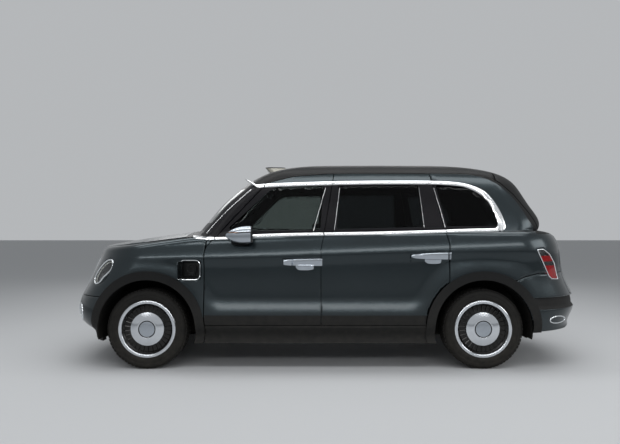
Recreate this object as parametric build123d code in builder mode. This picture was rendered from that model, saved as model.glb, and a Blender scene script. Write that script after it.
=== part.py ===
"""A full-size purpose-built taxi cab, in millimetres.

The nose points along -X, the cab's left side is on -Y, +Z is up, and z = 0 is the road.
x = 0 is half way between the bumpers' ends.
"""

import os
from collections import namedtuple

from build123d import *

os.makedirs("parts", exist_ok=True)

# Driving dimensions
LENGTH = 4857
HALF_WIDTH = 937
HEIGHT = 1888
WHEELBASE = 2986
FRONT_OVERHANG = 836
SILL_BOTTOM = 234
DOOR_BOTTOM = 394
CLADDING_TOP = 484
BUMPER_TOP = 640
REAR_SKIRT = 322

X_FRONT = -LENGTH / 2
X_REAR = LENGTH / 2
FRONT_AXLE = X_FRONT + FRONT_OVERHANG
REAR_AXLE = FRONT_AXLE + WHEELBASE

# Wheels and what carries them
TYRE_R = 355
TYRE_WIDTH = 215
RIM_R = 222
RIM_WALL = 12
WHEEL_Y = 790
WELL_R = 438
ARCH_TRIM_R = 516
TRIM_PROUD = 9
FRONT_WELL_IN = 448
REAR_WELL_IN = 600
LINER = 8
KINGPIN_Y = 735
KINGPIN_R = 34
STUB_R = 30
STUB_GAP = 0.5
ARM_LOW = 252
ARM_HIGH = 480

# Walls and gaps
PANEL_GAP = 7
DOOR_SKIN = 12
DOOR_WALL = 55
DOOR_STEP = 13
FRAME_OUT = 72
FRAME_IN = 108
REVEAL = 45
LOWER_WALL = 45
BONNET_WALL = 30
ROOF_WALL = 45
TAILGATE_WALL = 55
GLASS_SET = 8
GLASS = 4
SEAT_GAP = 0.3
OUT = 1300

# Plan outlines of the lower body, from the sill up
Lower = namedtuple("Lower", "z x_front x_rear half pitch r_front r_rear")
LOWER = [
    Lower(SILL_BOTTOM, X_FRONT + 150, X_REAR - 120, 905, 0, 430, 560),
    Lower(367, X_FRONT + 60, X_REAR - 60, 930, 0, 450, 620),
    Lower(CLADDING_TOP, X_FRONT, X_REAR - 14, HALF_WIDTH, 0, 480, 640),
    Lower(600, X_FRONT + 14, X_REAR, 928, 0, 480, 640),
    Lower(770, X_FRONT + 84, X_REAR - 100, 927, 1.0, 480, 600),
    Lower(930, X_FRONT + 135, X_REAR - 142, 930, 2.2, 520, 560),
    Lower(1030, X_FRONT + 180, X_REAR - 172, 924, 2.4, 560, 520),
    Lower(1110, X_FRONT + 210, X_REAR - 222, 902, 2.4, 560, 480),
    Lower(1180, X_FRONT + 260, X_REAR - 295, 884, 2.0, 560, 450),
    Lower(1300, X_FRONT + 370, X_REAR - 425, 850, 2.0, 560, 440),
]
LOWER_BOW_FRONT = 290
LOWER_BOW_REAR = 130
FRONT_TUCK = 28
REAR_TUCK = 22

# Crowned top of the lower body
Crown = namedtuple("Crown", "x z_centre z_side")
CROWN = [
    Crown(X_FRONT - 70, 880, 770),
    Crown(X_FRONT + 100, 985, 880),
    Crown(X_FRONT + 240, 1078, 960),
    Crown(X_FRONT + 420, 1118, 1020),
    Crown(X_FRONT + 620, 1153, 1056),
    Crown(X_FRONT + 830, 1183, 1092),
    Crown(-1400, 1210, 1120),
    Crown(-1200, 1232, 1146),
    Crown(-900, 1246, 1162),
    Crown(-500, 1257, 1174),
    Crown(0, 1268, 1186),
    Crown(600, 1277, 1198),
    Crown(1200, 1281, 1206),
    Crown(1700, 1271, 1206),
    Crown(X_REAR - 430, 1250, 1196),
    Crown(X_REAR - 130, 1130, 1050),
    Crown(X_REAR + 70, 960, 880),
]
CROWN_SIDE_Y = 1000
SHOULDER_R = 70

# Plan outlines of the glazed upper body and the roof
Upper = namedtuple("Upper", "z x_front x_rear half bow_front bow_rear r_front r_rear")
UPPER = [
    Upper(1100, -1352, 2072, 900, 175, 55, 200, 330),
    Upper(1239, -1240, 2030, 862, 175, 55, 200, 320),
    Upper(1451, -1068, 1975, 812, 175, 55, 190, 310),
    Upper(1600, -908, 1887, 774, 175, 55, 190, 300),
    Upper(1700, -775, 1810, 740, 170, 55, 190, 290),
    Upper(1752, -690, 1735, 712, 165, 60, 190, 280),
    Upper(1795, -590, 1622, 668, 160, 60, 190, 270),
    Upper(1826, -470, 1488, 606, 150, 60, 190, 260),
    Upper(1849, -330, 1336, 510, 130, 60, 190, 240),
    Upper(1866, -180, 1170, 395, 100, 60, 180, 200),
    Upper(1879, 20, 985, 255, 60, 40, 130, 140),
    Upper(HEIGHT, 260, 770, 90, 20, 20, 50, 50),
]
UPPER_TUCK_FRONT = 42
UPPER_TUCK_REAR = 48
FULL_HALF = 700

# Side view of the seams, as x and z
DOOR_FRONT_X = -1082
DOOR_SPLIT_X = -48
DOOR_REAR_X = 1087
BELT_FRONT = (-996, 1165)
PILLAR_TOP = (-568, 1634)
CANT_FRONT = [PILLAR_TOP, (-494, 1679), (-300, 1728), (0, 1752)]
CANT_Z = 1755
SPLIT_BELT = (-22, 1192)
SPLIT_TOP = (76, CANT_Z)
REAR_BELT = (1060, 1240)
REAR_TOP = (950, CANT_Z)
SCREEN_BASE = (-1061, 1195)
SCREEN_TOP = (-646, 1609)
COWL_Z = 1230
SCREEN_FOOT = (-1026, COWL_Z)
HEADER_TOP = (-716, 1790)
CANT_REAR = [(1323, CANT_Z), (1480, 1730), (1600, 1668), (1720, 1560), (1850, 1400), (1960, 1240)]
ROOF_END_X = 1560
CANT_FALL = (CANT_REAR[2][1] - CANT_REAR[1][1]) / (CANT_REAR[2][0] - CANT_REAR[1][0])
ROOF_END_Z = CANT_REAR[1][1] + CANT_FALL * (ROOF_END_X - CANT_REAR[1][0])

# Windows, as x and z
FRONT_WINDOW = [(-905, 1228), (-518, 1590), (-440, 1632), (-15, 1640), (-52, 1236)]
REAR_WINDOW = [(96, 1244), (114, 1642), (845, 1650), (885, 1264)]
QUARTER_WINDOW = [(1082, 1268), (997, 1650), (1290, 1630), (1400, 1570), (1495, 1460), (1556, 1275)]
WINDOW_R = 22

# Bonnet, nose and tail
BONNET_REAR_X = -1268
BONNET_HALF_REAR = 768
BONNET_FRONT_X = X_FRONT + 205
NOSE_HALF = 560
TAILGATE_HALF = 668
TAILGATE_BOTTOM = 652

# Hinges, as x and y for the doors and x and z for the lids
FRONT_HINGE = (DOOR_FRONT_X + 28.5, -919)
REAR_HINGE = (DOOR_SPLIT_X + 28.5, -925.5)
DOOR_PIN_R = 4
DOOR_PIN_TOP = 430
BONNET_HINGE = (-1180, 1192)
GATE_HINGE = (1480, 1757)
LID_ARM_Y = 300
LID_ARM = 12
LID_PIN_R = 5
RUNNING_GAP = 0.05
MOVING_GAP = 5
GATE_LIP = 5
FLAP_LUG_IN = 1.7
FLAP_LUG_OUT = 2.4

# Cabin and running gear
FLOOR_LOW = 300
FLOOR_HIGH = 330
BOOT_FLOOR = 550
BOOT_STEP_X = 1150
FIREWALL_X = -1262
RAIL_LOW = 520
TOW_Y = 300
TOW_Z = 583
TOW_R = 8
TOW_FACE_X = -2340
TOW_DEPTH = 60


def plan_outline(z, x_front, x_rear, half, pitch, radii, bows, tucks, grow=0):
    """A closed outline of four bowed sides and four round corners on a plane tilted by pitch."""
    front, rear, wide = x_front - grow, x_rear + grow, half + grow
    with BuildSketch(Plane.XY.offset(z).rotated((0, -pitch, 0))) as sketch:
        with BuildLine():
            front_x, rear_x = front + bows[0], rear - bows[1]
            front_y, rear_y = wide - tucks[0], wide - tucks[1]
            ThreePointArc((front_x, front_y), (front, 0), (front_x, -front_y))
            ThreePointArc((front_x, -front_y), ((front + rear) / 2, -wide), (rear_x, -rear_y))
            ThreePointArc((rear_x, -rear_y), (rear, 0), (rear_x, rear_y))
            ThreePointArc((rear_x, rear_y), ((front + rear) / 2, wide), (front_x, front_y))
        make_face()
        corners = sketch.vertices().group_by(Axis.X)
        fillet(corners[0], radii[0] + grow)
        corners = sketch.vertices().group_by(Axis.X)
        fillet(corners[-1], radii[1] + grow)
    return sketch.sketch.face()


def lower_loft(grow=0):
    """The lower body without its crowned top, grown or shrunk in plan."""
    with BuildPart() as form:
        for row in LOWER:
            radii = (row.r_front, row.r_rear)
            add(
                plan_outline(
                    row.z, row.x_front, row.x_rear, row.half, row.pitch, radii,
                    (LOWER_BOW_FRONT, LOWER_BOW_REAR), (FRONT_TUCK, REAR_TUCK), grow,
                )
            )
        loft()
    return form.part


def crown_form():
    """Everything below the crowned top of the lower body."""
    with BuildPart() as under:
        for row in CROWN:
            with BuildSketch(Plane.YZ.offset(row.x)):
                with BuildLine():
                    side = CROWN_SIDE_Y
                    Polyline((-side, row.z_side), (-side, 0), (side, 0), (side, row.z_side))
                    ThreePointArc((side, row.z_side), (0, row.z_centre), (-side, row.z_side))
                make_face()
        loft()
    return under.part


def upper_loft():
    """The glazed upper body and the roof."""
    with BuildPart() as form:
        for row in UPPER:
            share = min(1, row.half / FULL_HALF)
            add(
                plan_outline(
                    row.z, row.x_front, row.x_rear, row.half, 0, (row.r_front, row.r_rear),
                    (row.bow_front, row.bow_rear),
                    (UPPER_TUCK_FRONT * share, UPPER_TUCK_REAR * share),
                )
            )
        loft()
    return form.part


def side_prism(points, radius=0, grow=0):
    """A prism across the left half of the cab over a closed side-view polygon."""
    with BuildPart() as prism:
        with BuildSketch(Plane.XZ) as sketch:
            with BuildLine():
                Polyline(*points, close=True)
            make_face()
            if grow:
                offset(amount=grow, kind=Kind.INTERSECTION)
            if radius:
                fillet(sketch.vertices(), radius)
        extrude(amount=OUT)
    return prism.part


def full_prism(points, grow=0):
    """A prism across the whole cab over a closed side-view polygon."""
    half = side_prism(points, 0, grow)
    return half + mirror(half, about=Plane.XZ)


def plan_prism(points, low, high, grow=0):
    """A prism from low to high over a closed polygon in plan."""
    with BuildPart() as prism:
        with BuildSketch(Plane.XY.offset(low)):
            with BuildLine():
                Polyline(*points, close=True)
            make_face()
            if grow:
                offset(amount=grow, kind=Kind.INTERSECTION)
        extrude(amount=high - low)
    return prism.part


def block(x0, x1, y0, y1, z0, z1, radius=0):
    """A box between two corners, with its edges rounded."""
    with BuildPart() as box:
        with Locations(((x0 + x1) / 2, (y0 + y1) / 2, (z0 + z1) / 2)):
            Box(x1 - x0, y1 - y0, z1 - z0)
        if radius:
            fillet(box.edges(), radius)
    return box.part


def rod(start, end, radius):
    """A round bar between two points."""
    way = Vector(*end) - Vector(*start)
    with BuildPart() as bar:
        with BuildSketch(Plane(origin=start, z_dir=way)):
            Circle(radius)
        extrude(amount=way.length)
    return bar.part


def cross_rod(x, z, y0, y1, radius):
    """A round bar across the cab."""
    return rod((x, y0, z), (x, y1, z), radius)


def other_side(shape):
    """The same shape on the cab's right side."""
    return mirror(shape, about=Plane.XZ)


def save(name, shape):
    """Write one node's file."""
    shape.label = name
    export_step(shape, f"parts/{name}.step")


# Forms
lower = lower_loft() & crown_form()
lower = lower.fillet(SHOULDER_R, lower.faces().sort_by(Axis.Z)[-1].edges())
outer = lower + upper_loft()
core = lower_loft(-LOWER_WALL)
core_seat = lower_loft(-LOWER_WALL - SEAT_GAP)
skin_core = outer.moved(Location((0, DOOR_SKIN, 0)))
side_core = outer.moved(Location((0, DOOR_WALL, 0)))
frame_core = outer.moved(Location((0, FRAME_OUT, 0)))
inner_core = outer.moved(Location((0, FRAME_IN, 0)))

# Seams on the left side
front_door_line = [
    (DOOR_FRONT_X, DOOR_BOTTOM), (DOOR_FRONT_X, 1040), (-1066, 1090), BELT_FRONT, *CANT_FRONT,
    SPLIT_TOP, SPLIT_BELT, (DOOR_SPLIT_X, 1060), (DOOR_SPLIT_X, DOOR_BOTTOM),
]
rear_door_line = [
    (DOOR_SPLIT_X, DOOR_BOTTOM), (DOOR_SPLIT_X, 1060), SPLIT_BELT, SPLIT_TOP, REAR_TOP, REAR_BELT,
    (DOOR_REAR_X, 1120), (DOOR_REAR_X, DOOR_BOTTOM),
]
front_well = cross_rod(FRONT_AXLE, TYRE_R, -FRONT_WELL_IN, -OUT, WELL_R)
rear_well = cross_rod(REAR_AXLE, TYRE_R, -REAR_WELL_IN, -OUT, WELL_R)
front_trim_disc = cross_rod(FRONT_AXLE, TYRE_R, -FRONT_WELL_IN, -OUT, ARCH_TRIM_R)
rear_trim_disc = cross_rod(REAR_AXLE, TYRE_R, -REAR_WELL_IN, -OUT, ARCH_TRIM_R)
rear_trim_gap = cross_rod(REAR_AXLE, TYRE_R, -REAR_WELL_IN, -OUT, ARCH_TRIM_R + PANEL_GAP)
front_trim_gap = cross_rod(FRONT_AXLE, TYRE_R, -FRONT_WELL_IN, -OUT, ARCH_TRIM_R + PANEL_GAP)

# Doors
half_gap = PANEL_GAP / 2


def door(line, window, trim_gap):
    """A door as thick as the whole door, with a skin that reaches past its inner part."""
    skin = (outer & side_prism(line, 0, -half_gap)) - skin_core
    inner = (skin_core & side_prism(line, 0, -half_gap - DOOR_STEP)) - side_core
    return skin + inner - side_prism(window, WINDOW_R) - trim_gap


front_door = door(front_door_line, FRONT_WINDOW, front_trim_gap)
rear_door = door(rear_door_line, REAR_WINDOW, rear_trim_gap)


def handle(x0, x1, z0, z1):
    """A pull handle that stands out of a door on two feet."""
    bar = block(x0, x1, -952, -936, z0 + 6, z1 - 6, 7)
    feet = block(x0 + 8, x0 + 60, -938, -905, z0 + 12, z1 - 12)
    feet = feet + block(x1 - 60, x1 - 8, -938, -905, z0 + 12, z1 - 12)
    return bar + feet




def door_pin(at, radius, top):
    """The pin that a door turns on, from inside the sill up."""
    return rod((*at, DOOR_BOTTOM - 15), (*at, top), radius)


front_door = front_door + handle(-387, -60, 925, 985)
rear_door = rear_door + handle(742, 1072, 946, 1006)
front_door = front_door - door_pin(FRONT_HINGE, DOOR_PIN_R + RUNNING_GAP, DOOR_PIN_TOP + 2)
rear_door = rear_door - door_pin(REAR_HINGE, DOOR_PIN_R + RUNNING_GAP, DOOR_PIN_TOP + 2)
save("door_front_left", front_door)
save("door_front_right", other_side(front_door))
save("door_rear_left", rear_door)
save("door_rear_right", other_side(rear_door))

# Side glass
glass_out = outer.moved(Location((0, GLASS_SET, 0)))
glass_in = outer.moved(Location((0, GLASS_SET + GLASS, 0)))
panes = {}
for name, points in (("front", FRONT_WINDOW), ("rear", REAR_WINDOW), ("quarter", QUARTER_WINDOW)):
    panes[name] = (glass_out & side_prism(points, WINDOW_R, -SEAT_GAP)) - glass_in
for name in ("front", "rear"):
    save(f"door_glass_{name}_left", panes[name])
    save(f"door_glass_{name}_right", other_side(panes[name]))
save("quarter_glass", Compound([*panes["quarter"].solids(), *other_side(panes["quarter"]).solids()]))

# Side frames: A, B and C pillars, cant rail, sill and rear quarter
frame_line = [
    (DOOR_FRONT_X + half_gap, SILL_BOTTOM), (DOOR_FRONT_X + half_gap, 1040), (-1062, 1130),
    SCREEN_BASE, SCREEN_TOP, *CANT_FRONT, *CANT_REAR, (1990, 1205), (1995, 800), (1930, SILL_BOTTOM),
]
tail_cut = [(1500, 0), (1500, BUMPER_TOP), (1640, 770), (1760, 822), (1900, 850), (2300, 850), (2300, 0)]
frame = (outer & side_prism(frame_line)) - inner_core
frame = frame - block(1700, X_REAR, -TAILGATE_HALF - half_gap, 0, 0, 1243)
corner_zone = block(1700, X_REAR + 50, -OUT, -TAILGATE_HALF - half_gap, 780, 1236)
corner = (outer & corner_zone) - core
frame = frame + corner
frame = frame - side_prism(tail_cut, 0, half_gap)
openings = side_prism(front_door_line, 0, half_gap) + side_prism(rear_door_line, 0, half_gap)
frame = frame - (openings - frame_core)
front_way = side_prism(front_door_line, 0, -REVEAL)
rear_way = side_prism(rear_door_line, 0, -REVEAL)
frame = frame - front_way - rear_way - side_prism(QUARTER_WINDOW, WINDOW_R)
cant_band = [
    *CANT_FRONT, (900, CANT_Z), (900, CANT_Z + 60), (0, CANT_Z + 60),
    (-300, 1788), (-494, 1739), (-568, 1694),
]
flange = (frame_core & side_prism(cant_band)) - inner_core
frame = frame + (flange & outer.moved(Location((0, 0, -ROOF_WALL - SEAT_GAP))))
frame = frame - front_well - rear_well
frame = frame + door_pin(FRONT_HINGE, DOOR_PIN_R, DOOR_PIN_TOP)
frame = frame + door_pin(REAR_HINGE, DOOR_PIN_R, DOOR_PIN_TOP)
lamp_line = [(1872, 1060), (1938, 1064), (2008, 1018), (2072, 934), (2112, 791), (2028, 798), (1996, 826)]
frame = frame - side_prism(lamp_line, 0, SEAT_GAP)

# Tail lamps
lamp = (outer & side_prism(lamp_line) & corner_zone) - core
save("tail_lamps", Compound([*lamp.solids(), *other_side(lamp).solids()]))

# Roof
roof_line = [
    HEADER_TOP, SCREEN_TOP, *CANT_FRONT, CANT_REAR[0], CANT_REAR[1], (ROOF_END_X, ROOF_END_Z),
    (ROOF_END_X, 1950), (-716, 1950),
]
roof = (outer & full_prism(roof_line, -half_gap)) - outer.moved(Location((0, 0, -ROOF_WALL)))


def lid_arm(points, hinge, width=16):
    """A pair of bent arms that carry a lid, each with a bore at its hinge."""
    with BuildPart() as arm:
        with BuildSketch(Plane.XZ.offset(LID_ARM_Y - LID_ARM / 2)):
            with BuildLine() as path:
                Polyline(hinge, *points)
            trace(path.line, line_width=width)
            with Locations(hinge):
                Circle(12)
        extrude(amount=LID_ARM)
        with BuildSketch(Plane.XZ.offset(LID_ARM_Y - LID_ARM)):
            with Locations(hinge):
                Circle(LID_PIN_R + RUNNING_GAP)
        extrude(amount=2 * LID_ARM, mode=Mode.SUBTRACT)
    return arm.part + other_side(arm.part)


def lid_pins(hinge):
    """The pair of pins that a lid's arms turn on."""
    pin = cross_rod(*hinge, -LID_ARM_Y + LID_ARM / 2 + 8, -LID_ARM_Y - 18, LID_PIN_R)
    return pin + other_side(pin)


def lid_bracket(x0, x1, z0, z1):
    """The pair of plates that hold a lid's pins."""
    plate = block(x0, x1, -LID_ARM_Y - 18, -LID_ARM_Y - LID_ARM / 2 - 2, z0, z1)
    return plate + other_side(plate)


gate_x, gate_z = GATE_HINGE
roof = roof + (lid_bracket(gate_x - 15, gate_x + 15, gate_z - 12, gate_z + 60) & outer)
roof = roof + lid_pins(GATE_HINGE)
save("roof_panel", roof)
sign = block(-600, -380, -280, 280, 1700, 1870, 12) - outer.moved(Location((0, 0, SEAT_GAP)))
save("roof_sign", sign.solids().sort_by(Axis.Z)[-1])

# Windscreen
screen_line = [(-1262, COWL_Z), SCREEN_FOOT, SCREEN_TOP, HEADER_TOP, (-716, 1900), (-1262, 1900)]
screen = outer & full_prism(screen_line, -SEAT_GAP)
screen = screen - outer.moved(Location((GLASS, 0, -GLASS)))
save("windscreen", screen)

# Bonnet, cowl and wings
bonnet_plan = [
    (BONNET_REAR_X, -BONNET_HALF_REAR), (-1700, -745), (-1900, -690), (-2060, -560),
    (BONNET_FRONT_X + 30, -330), (BONNET_FRONT_X, 0), (BONNET_FRONT_X + 30, 330),
    (-2060, 560), (-1900, 690), (-1700, 745), (BONNET_REAR_X, BONNET_HALF_REAR),
]
under_bonnet = outer.moved(Location((0, 0, -BONNET_WALL)))
bonnet = (outer & plan_prism(bonnet_plan, 850, 1400, -half_gap)) - under_bonnet
bonnet_edge = [(x + 6, y) for x, y in bonnet_plan[1:-1]]
bonnet = bonnet & plan_prism([*bonnet_edge, (-1200, 760), (-1200, -760)], 850, 1400)
bonnet = bonnet.solids().sort_by(SortBy.VOLUME)[-1]
lid_x, lid_z = BONNET_HINGE
bonnet_bend = [(lid_x - 50, lid_z - 87), (lid_x - 110, lid_z - 87), (lid_x - 124, lid_z + 12)]
bonnet_arm = lid_arm(bonnet_bend, BONNET_HINGE)
bonnet = bonnet + bonnet_arm
save("bonnet", bonnet)
bonnet_way = plan_prism(bonnet_plan, 850, 1400, half_gap)

cowl_line = [
    (BONNET_REAR_X + half_gap, 1100), (BONNET_REAR_X + half_gap, COWL_Z), SCREEN_FOOT,
    SCREEN_BASE, (-1062, 1130), (DOOR_FRONT_X + half_gap, 1100),
]
cowl = (outer & full_prism(cowl_line, -SEAT_GAP)) - under_bonnet
cowl = cowl & block(-1500, -900, -BONNET_HALF_REAR - 40, BONNET_HALF_REAR + 40, 1000, 1400)
firewall = block(FIREWALL_X, FIREWALL_X + 20, -700, 700, FLOOR_HIGH + SEAT_GAP, 1300)
firewall = firewall & outer.moved(Location((0, 0, -BONNET_WALL / 2)))
house_r = WELL_R + LINER + SEAT_GAP
front_house = cross_rod(FRONT_AXLE, TYRE_R, -FRONT_WELL_IN + LINER + SEAT_GAP, -OUT, house_r)
rear_house = cross_rod(REAR_AXLE, TYRE_R, -REAR_WELL_IN + LINER + SEAT_GAP, -OUT, house_r)
firewall = firewall - front_house - other_side(front_house)
slot = block(FIREWALL_X - 10, FIREWALL_X + 30, -LID_ARM_Y - 12, -LID_ARM_Y + 12, lid_z - 120, 1300)
cowl = cowl + (firewall - slot - other_side(slot))
cowl = cowl + lid_bracket(FIREWALL_X + 5, lid_x + 12, lid_z - 12, lid_z + 12) + lid_pins(BONNET_HINGE)
save("cowl", cowl)

WING_REAR_X = DOOR_FRONT_X - half_gap - 2
wing_line = [
    (X_FRONT - 50, BUMPER_TOP + half_gap), (X_FRONT - 50, 1400), (-1250, 1400), (-1100, 1225),
    (-1070, 1195), (-1070, 1130), (WING_REAR_X, 1040), (WING_REAR_X, SILL_BOTTOM),
    (-1400, SILL_BOTTOM), (-1400, BUMPER_TOP + half_gap),
]
wing = (outer & side_prism(wing_line)) - core - bonnet_way
wing = wing - block(X_FRONT - 100, -1000, -NOSE_HALF - half_gap, 100, 0, 1500)
wing = wing - block(BONNET_REAR_X, -1000, -BONNET_HALF_REAR - 42, 100, 1000, 1500)
wing = wing - front_well
wing = wing.solids().sort_by(SortBy.VOLUME)[-1]

# Head lamps
LAMP_AT = (-2020, -790, 862)
LAMP_WAY = (-0.66, -0.29, 0.69)
LAMP_LONG = 135
LAMP_SHORT = 74


def lamp_prism(grow):
    """An oval prism through a head lamp, square to its face."""
    plane = Plane(origin=LAMP_AT, x_dir=(-0.72, 0.18, -0.67), z_dir=LAMP_WAY)
    with BuildPart() as prism:
        with BuildSketch(plane.offset(-70)):
            Ellipse(LAMP_LONG + grow, LAMP_SHORT + grow)
        extrude(amount=300)
    return prism.part


head_lamp = outer & lamp_prism(0)
wing = wing - lamp_prism(SEAT_GAP)

# Charge port and its flap
PORT_X = -1203
PORT_Z = 884
PORT_HALF = 82
PORT_FACE = 14
FLAP_GAP = 5
FLAP_THICK = 6
FLAP_HINGE_Y = -934
FLAP_PIN_R = 2.2
port_square = [
    (PORT_X - PORT_HALF, PORT_Z - PORT_HALF), (PORT_X - PORT_HALF, PORT_Z + PORT_HALF),
    (PORT_X + PORT_HALF, PORT_Z + PORT_HALF), (PORT_X + PORT_HALF, PORT_Z - PORT_HALF),
]
wing = wing - side_prism(port_square, 24, SEAT_GAP)
save("wing_left", wing)
save("wing_right", other_side(wing) + (other_side((outer & side_prism(port_square, 24, 4)) - core)))
port = (outer.moved(Location((0, PORT_FACE, 0))) & side_prism(port_square, 24)) - inner_core
port = port - (side_prism(port_square, 16, -10) - side_core)
port = port + cross_rod(PORT_X, PORT_Z, -850, -908, 34)
port = port - cross_rod(PORT_X, PORT_Z, -880, -950, 28)
pin_x = PORT_X - PORT_HALF + 2
for way in (-1, 1):
    lug_z = PORT_Z + way * 56
    port = port + block(
        pin_x - FLAP_LUG_IN, pin_x + FLAP_LUG_OUT, FLAP_HINGE_Y - 4, -900, lug_z - 5, lug_z + 5
    )
port = port + rod((pin_x, FLAP_HINGE_Y, PORT_Z - 58), (pin_x, FLAP_HINGE_Y, PORT_Z + 58), FLAP_PIN_R)
save("charge_port", port)
flap_x = PORT_X - PORT_HALF + FLAP_GAP + 3
flap_long = 2 * PORT_HALF - 2 * FLAP_GAP
with BuildPart() as flap:
    with BuildSketch(Plane.YZ.offset(flap_x)):
        with Locations((FLAP_HINGE_Y - 3 - flap_long / 2, PORT_Z)):
            RectangleRounded(flap_long, flap_long, 20)
    extrude(amount=FLAP_THICK)
barrel = rod((pin_x, FLAP_HINGE_Y, PORT_Z - 48), (pin_x, FLAP_HINGE_Y, PORT_Z + 48), 4.5)
leaf = block(pin_x + 2, flap_x + 2, FLAP_HINGE_Y - 6, FLAP_HINGE_Y + 1, PORT_Z - 48, PORT_Z + 48)
barrel = barrel + leaf + flap.part
barrel = barrel - rod(
    (pin_x, FLAP_HINGE_Y, PORT_Z - 60), (pin_x, FLAP_HINGE_Y, PORT_Z + 60), FLAP_PIN_R + RUNNING_GAP
)
save("charge_flap", barrel)

# Nose, grille and front bumper
nose_half = NOSE_HALF - half_gap
nose_zone = block(X_FRONT - 50, -2000, -nose_half, nose_half, BUMPER_TOP + half_gap, 1400)
nose = (outer & nose_zone) - outer.moved(Location((LOWER_WALL, 0, 0))) - bonnet_way
with BuildPart() as grille_hole:
    with BuildSketch(Plane.YZ.offset(X_FRONT - 60)) as sketch:
        with BuildLine():
            Polyline((-285, 690), (-330, 960), (330, 960), (285, 690), close=True)
        make_face()
        fillet(sketch.vertices(), 45)
    extrude(amount=500)
with BuildPart() as grille_fill:
    with BuildSketch(Plane.YZ.offset(X_FRONT - 60)) as sketch:
        with BuildLine():
            Polyline((-285, 690), (-330, 960), (330, 960), (285, 690), close=True)
        make_face()
        fillet(sketch.vertices(), 45)
        offset(amount=-SEAT_GAP)
    extrude(amount=500)
nose = nose - grille_hole.part
save("front_panel", nose.solids().sort_by(SortBy.VOLUME)[-1])
grille = (outer & grille_fill.part) - outer.moved(Location((30, 0, 0)))
for i in range(-7, 8):
    slot = block(X_FRONT - 60, -2000, i * 38 - 12, i * 38 + 12, 715, 935)
    grille = grille - slot
save("grille", grille)

bumper_zone = block(X_FRONT - 50, FRONT_AXLE - 300, -OUT, OUT, 200, BUMPER_TOP - half_gap)
front_bumper = (outer & bumper_zone) - core - front_well - other_side(front_well)
with BuildPart() as fog_hole:
    with BuildSketch(Plane(origin=(-2180, -600, 479), z_dir=(-0.72, -0.69, 0))):
        Circle(82)
    extrude(amount=200)
with BuildPart() as fog_fill:
    with BuildSketch(Plane(origin=(-2180, -600, 479), z_dir=(-0.72, -0.69, 0))):
        Circle(82 - SEAT_GAP)
    extrude(amount=200)
fog = (outer & fog_fill.part)
front_bumper = front_bumper - fog_hole.part - other_side(fog_hole.part)
intake = block(X_FRONT - 60, -2200, -380, 380, 320, 470)
front_bumper = front_bumper - intake
front_bumper = front_bumper - rod((X_FRONT - 60, TOW_Y, TOW_Z), (-2300, TOW_Y, TOW_Z), 3 * TOW_R)
save("front_bumper", front_bumper.solids().sort_by(SortBy.VOLUME)[-1])
lamps = [head_lamp, other_side(head_lamp), fog, other_side(fog)]
save("front_lamps", Compound([solid for each in lamps for solid in each.solids()]))

# Rear bumper and tailgate
rear_zone = full_prism(
    [(REAR_AXLE + 250, REAR_SKIRT), (REAR_AXLE + 250, BUMPER_TOP), *tail_cut[2:5],
     (2600, 850), (2600, 420), (2200, REAR_SKIRT + 15)], -half_gap
)
rear_bumper = (outer & rear_zone) - core - rear_well - other_side(rear_well)
gate_half = TAILGATE_HALF + 1
tail_way = block(1990, X_REAR + 60, -gate_half, gate_half, TAILGATE_BOTTOM - half_gap, 900)
rear_bumper = rear_bumper - tail_way
lamp_way = side_prism(lamp_line, 0, SEAT_GAP)
rear_bumper = rear_bumper - lamp_way - other_side(lamp_way)
save("rear_bumper", rear_bumper.solids().sort_by(SortBy.VOLUME)[-1])

gate_line = [
    (ROOF_END_X, ROOF_END_Z), *CANT_REAR[2:], (1985, 1210), (1985, 500),
    (2600, 500), (2600, 1950), (ROOF_END_X, 1950),
]
with BuildPart() as gate_zone:
    with BuildSketch(Plane.YZ.offset(1400)):
        with BuildLine():
            half = TAILGATE_HALF
            Polyline(
                (-half, TAILGATE_BOTTOM), (-half, 1243), (-950, 1243), (-950, 1950), (950, 1950),
                (950, 1243), (half, 1243), (half, TAILGATE_BOTTOM), close=True,
            )
        make_face()
        offset(amount=-half_gap, kind=Kind.INTERSECTION)
    extrude(amount=1200)
gate_core = outer.moved(Location((-TAILGATE_WALL, 0, -TAILGATE_WALL / 2)))
gate = (outer & full_prism(gate_line, -PANEL_GAP) & gate_zone.part) - gate_core
with BuildPart() as rear_window:
    with BuildSketch(Plane.YZ.offset(1500)) as sketch:
        with BuildLine():
            Polyline((-600, 1235), (-520, 1655), (520, 1655), (600, 1235), close=True)
        make_face()
        fillet(sketch.vertices(), 60)
    extrude(amount=900)
with BuildPart() as rear_pane:
    with BuildSketch(Plane.YZ.offset(1500)) as sketch:
        with BuildLine():
            Polyline((-600, 1235), (-520, 1655), (520, 1655), (600, 1235), close=True)
        make_face()
        fillet(sketch.vertices(), 60)
        offset(amount=-SEAT_GAP)
    extrude(amount=900)
roof_end = roof.faces().filter_by(Axis.X).sort_by(Axis.X)[-1].bounding_box()
reach = ((roof_end.max.X - gate_x) ** 2 + (roof_end.max.Z - gate_z) ** 2) ** 0.5
sweep = cross_rod(gate_x, gate_z, -OUT, OUT, reach + MOVING_GAP)
gate = gate - (sweep & outer.moved(Location((0, 0, -GATE_LIP))))
gate = gate - rear_window.part
gate = gate.solids().sort_by(SortBy.VOLUME)[-1]
gate_bend = [(gate_x + 5, gate_z - 95), (gate_x + 95, gate_z - 95), (gate_x + 108, gate_z + 12)]
gate_arm = lid_arm(gate_bend, GATE_HINGE)
gate = gate + gate_arm
save("tailgate", gate)
pane = outer.moved(Location((-GLASS_SET, 0, 0))) & rear_pane.part
pane = pane - outer.moved(Location((-GLASS_SET - GLASS - 2, 0, 0)))
save("rear_glass", pane.solids().sort_by(SortBy.VOLUME)[-1])

save("side_frame_left", frame.solids().sort_by(SortBy.VOLUME)[-1])
save("side_frame_right", other_side(frame.solids().sort_by(SortBy.VOLUME)[-1]))

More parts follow.
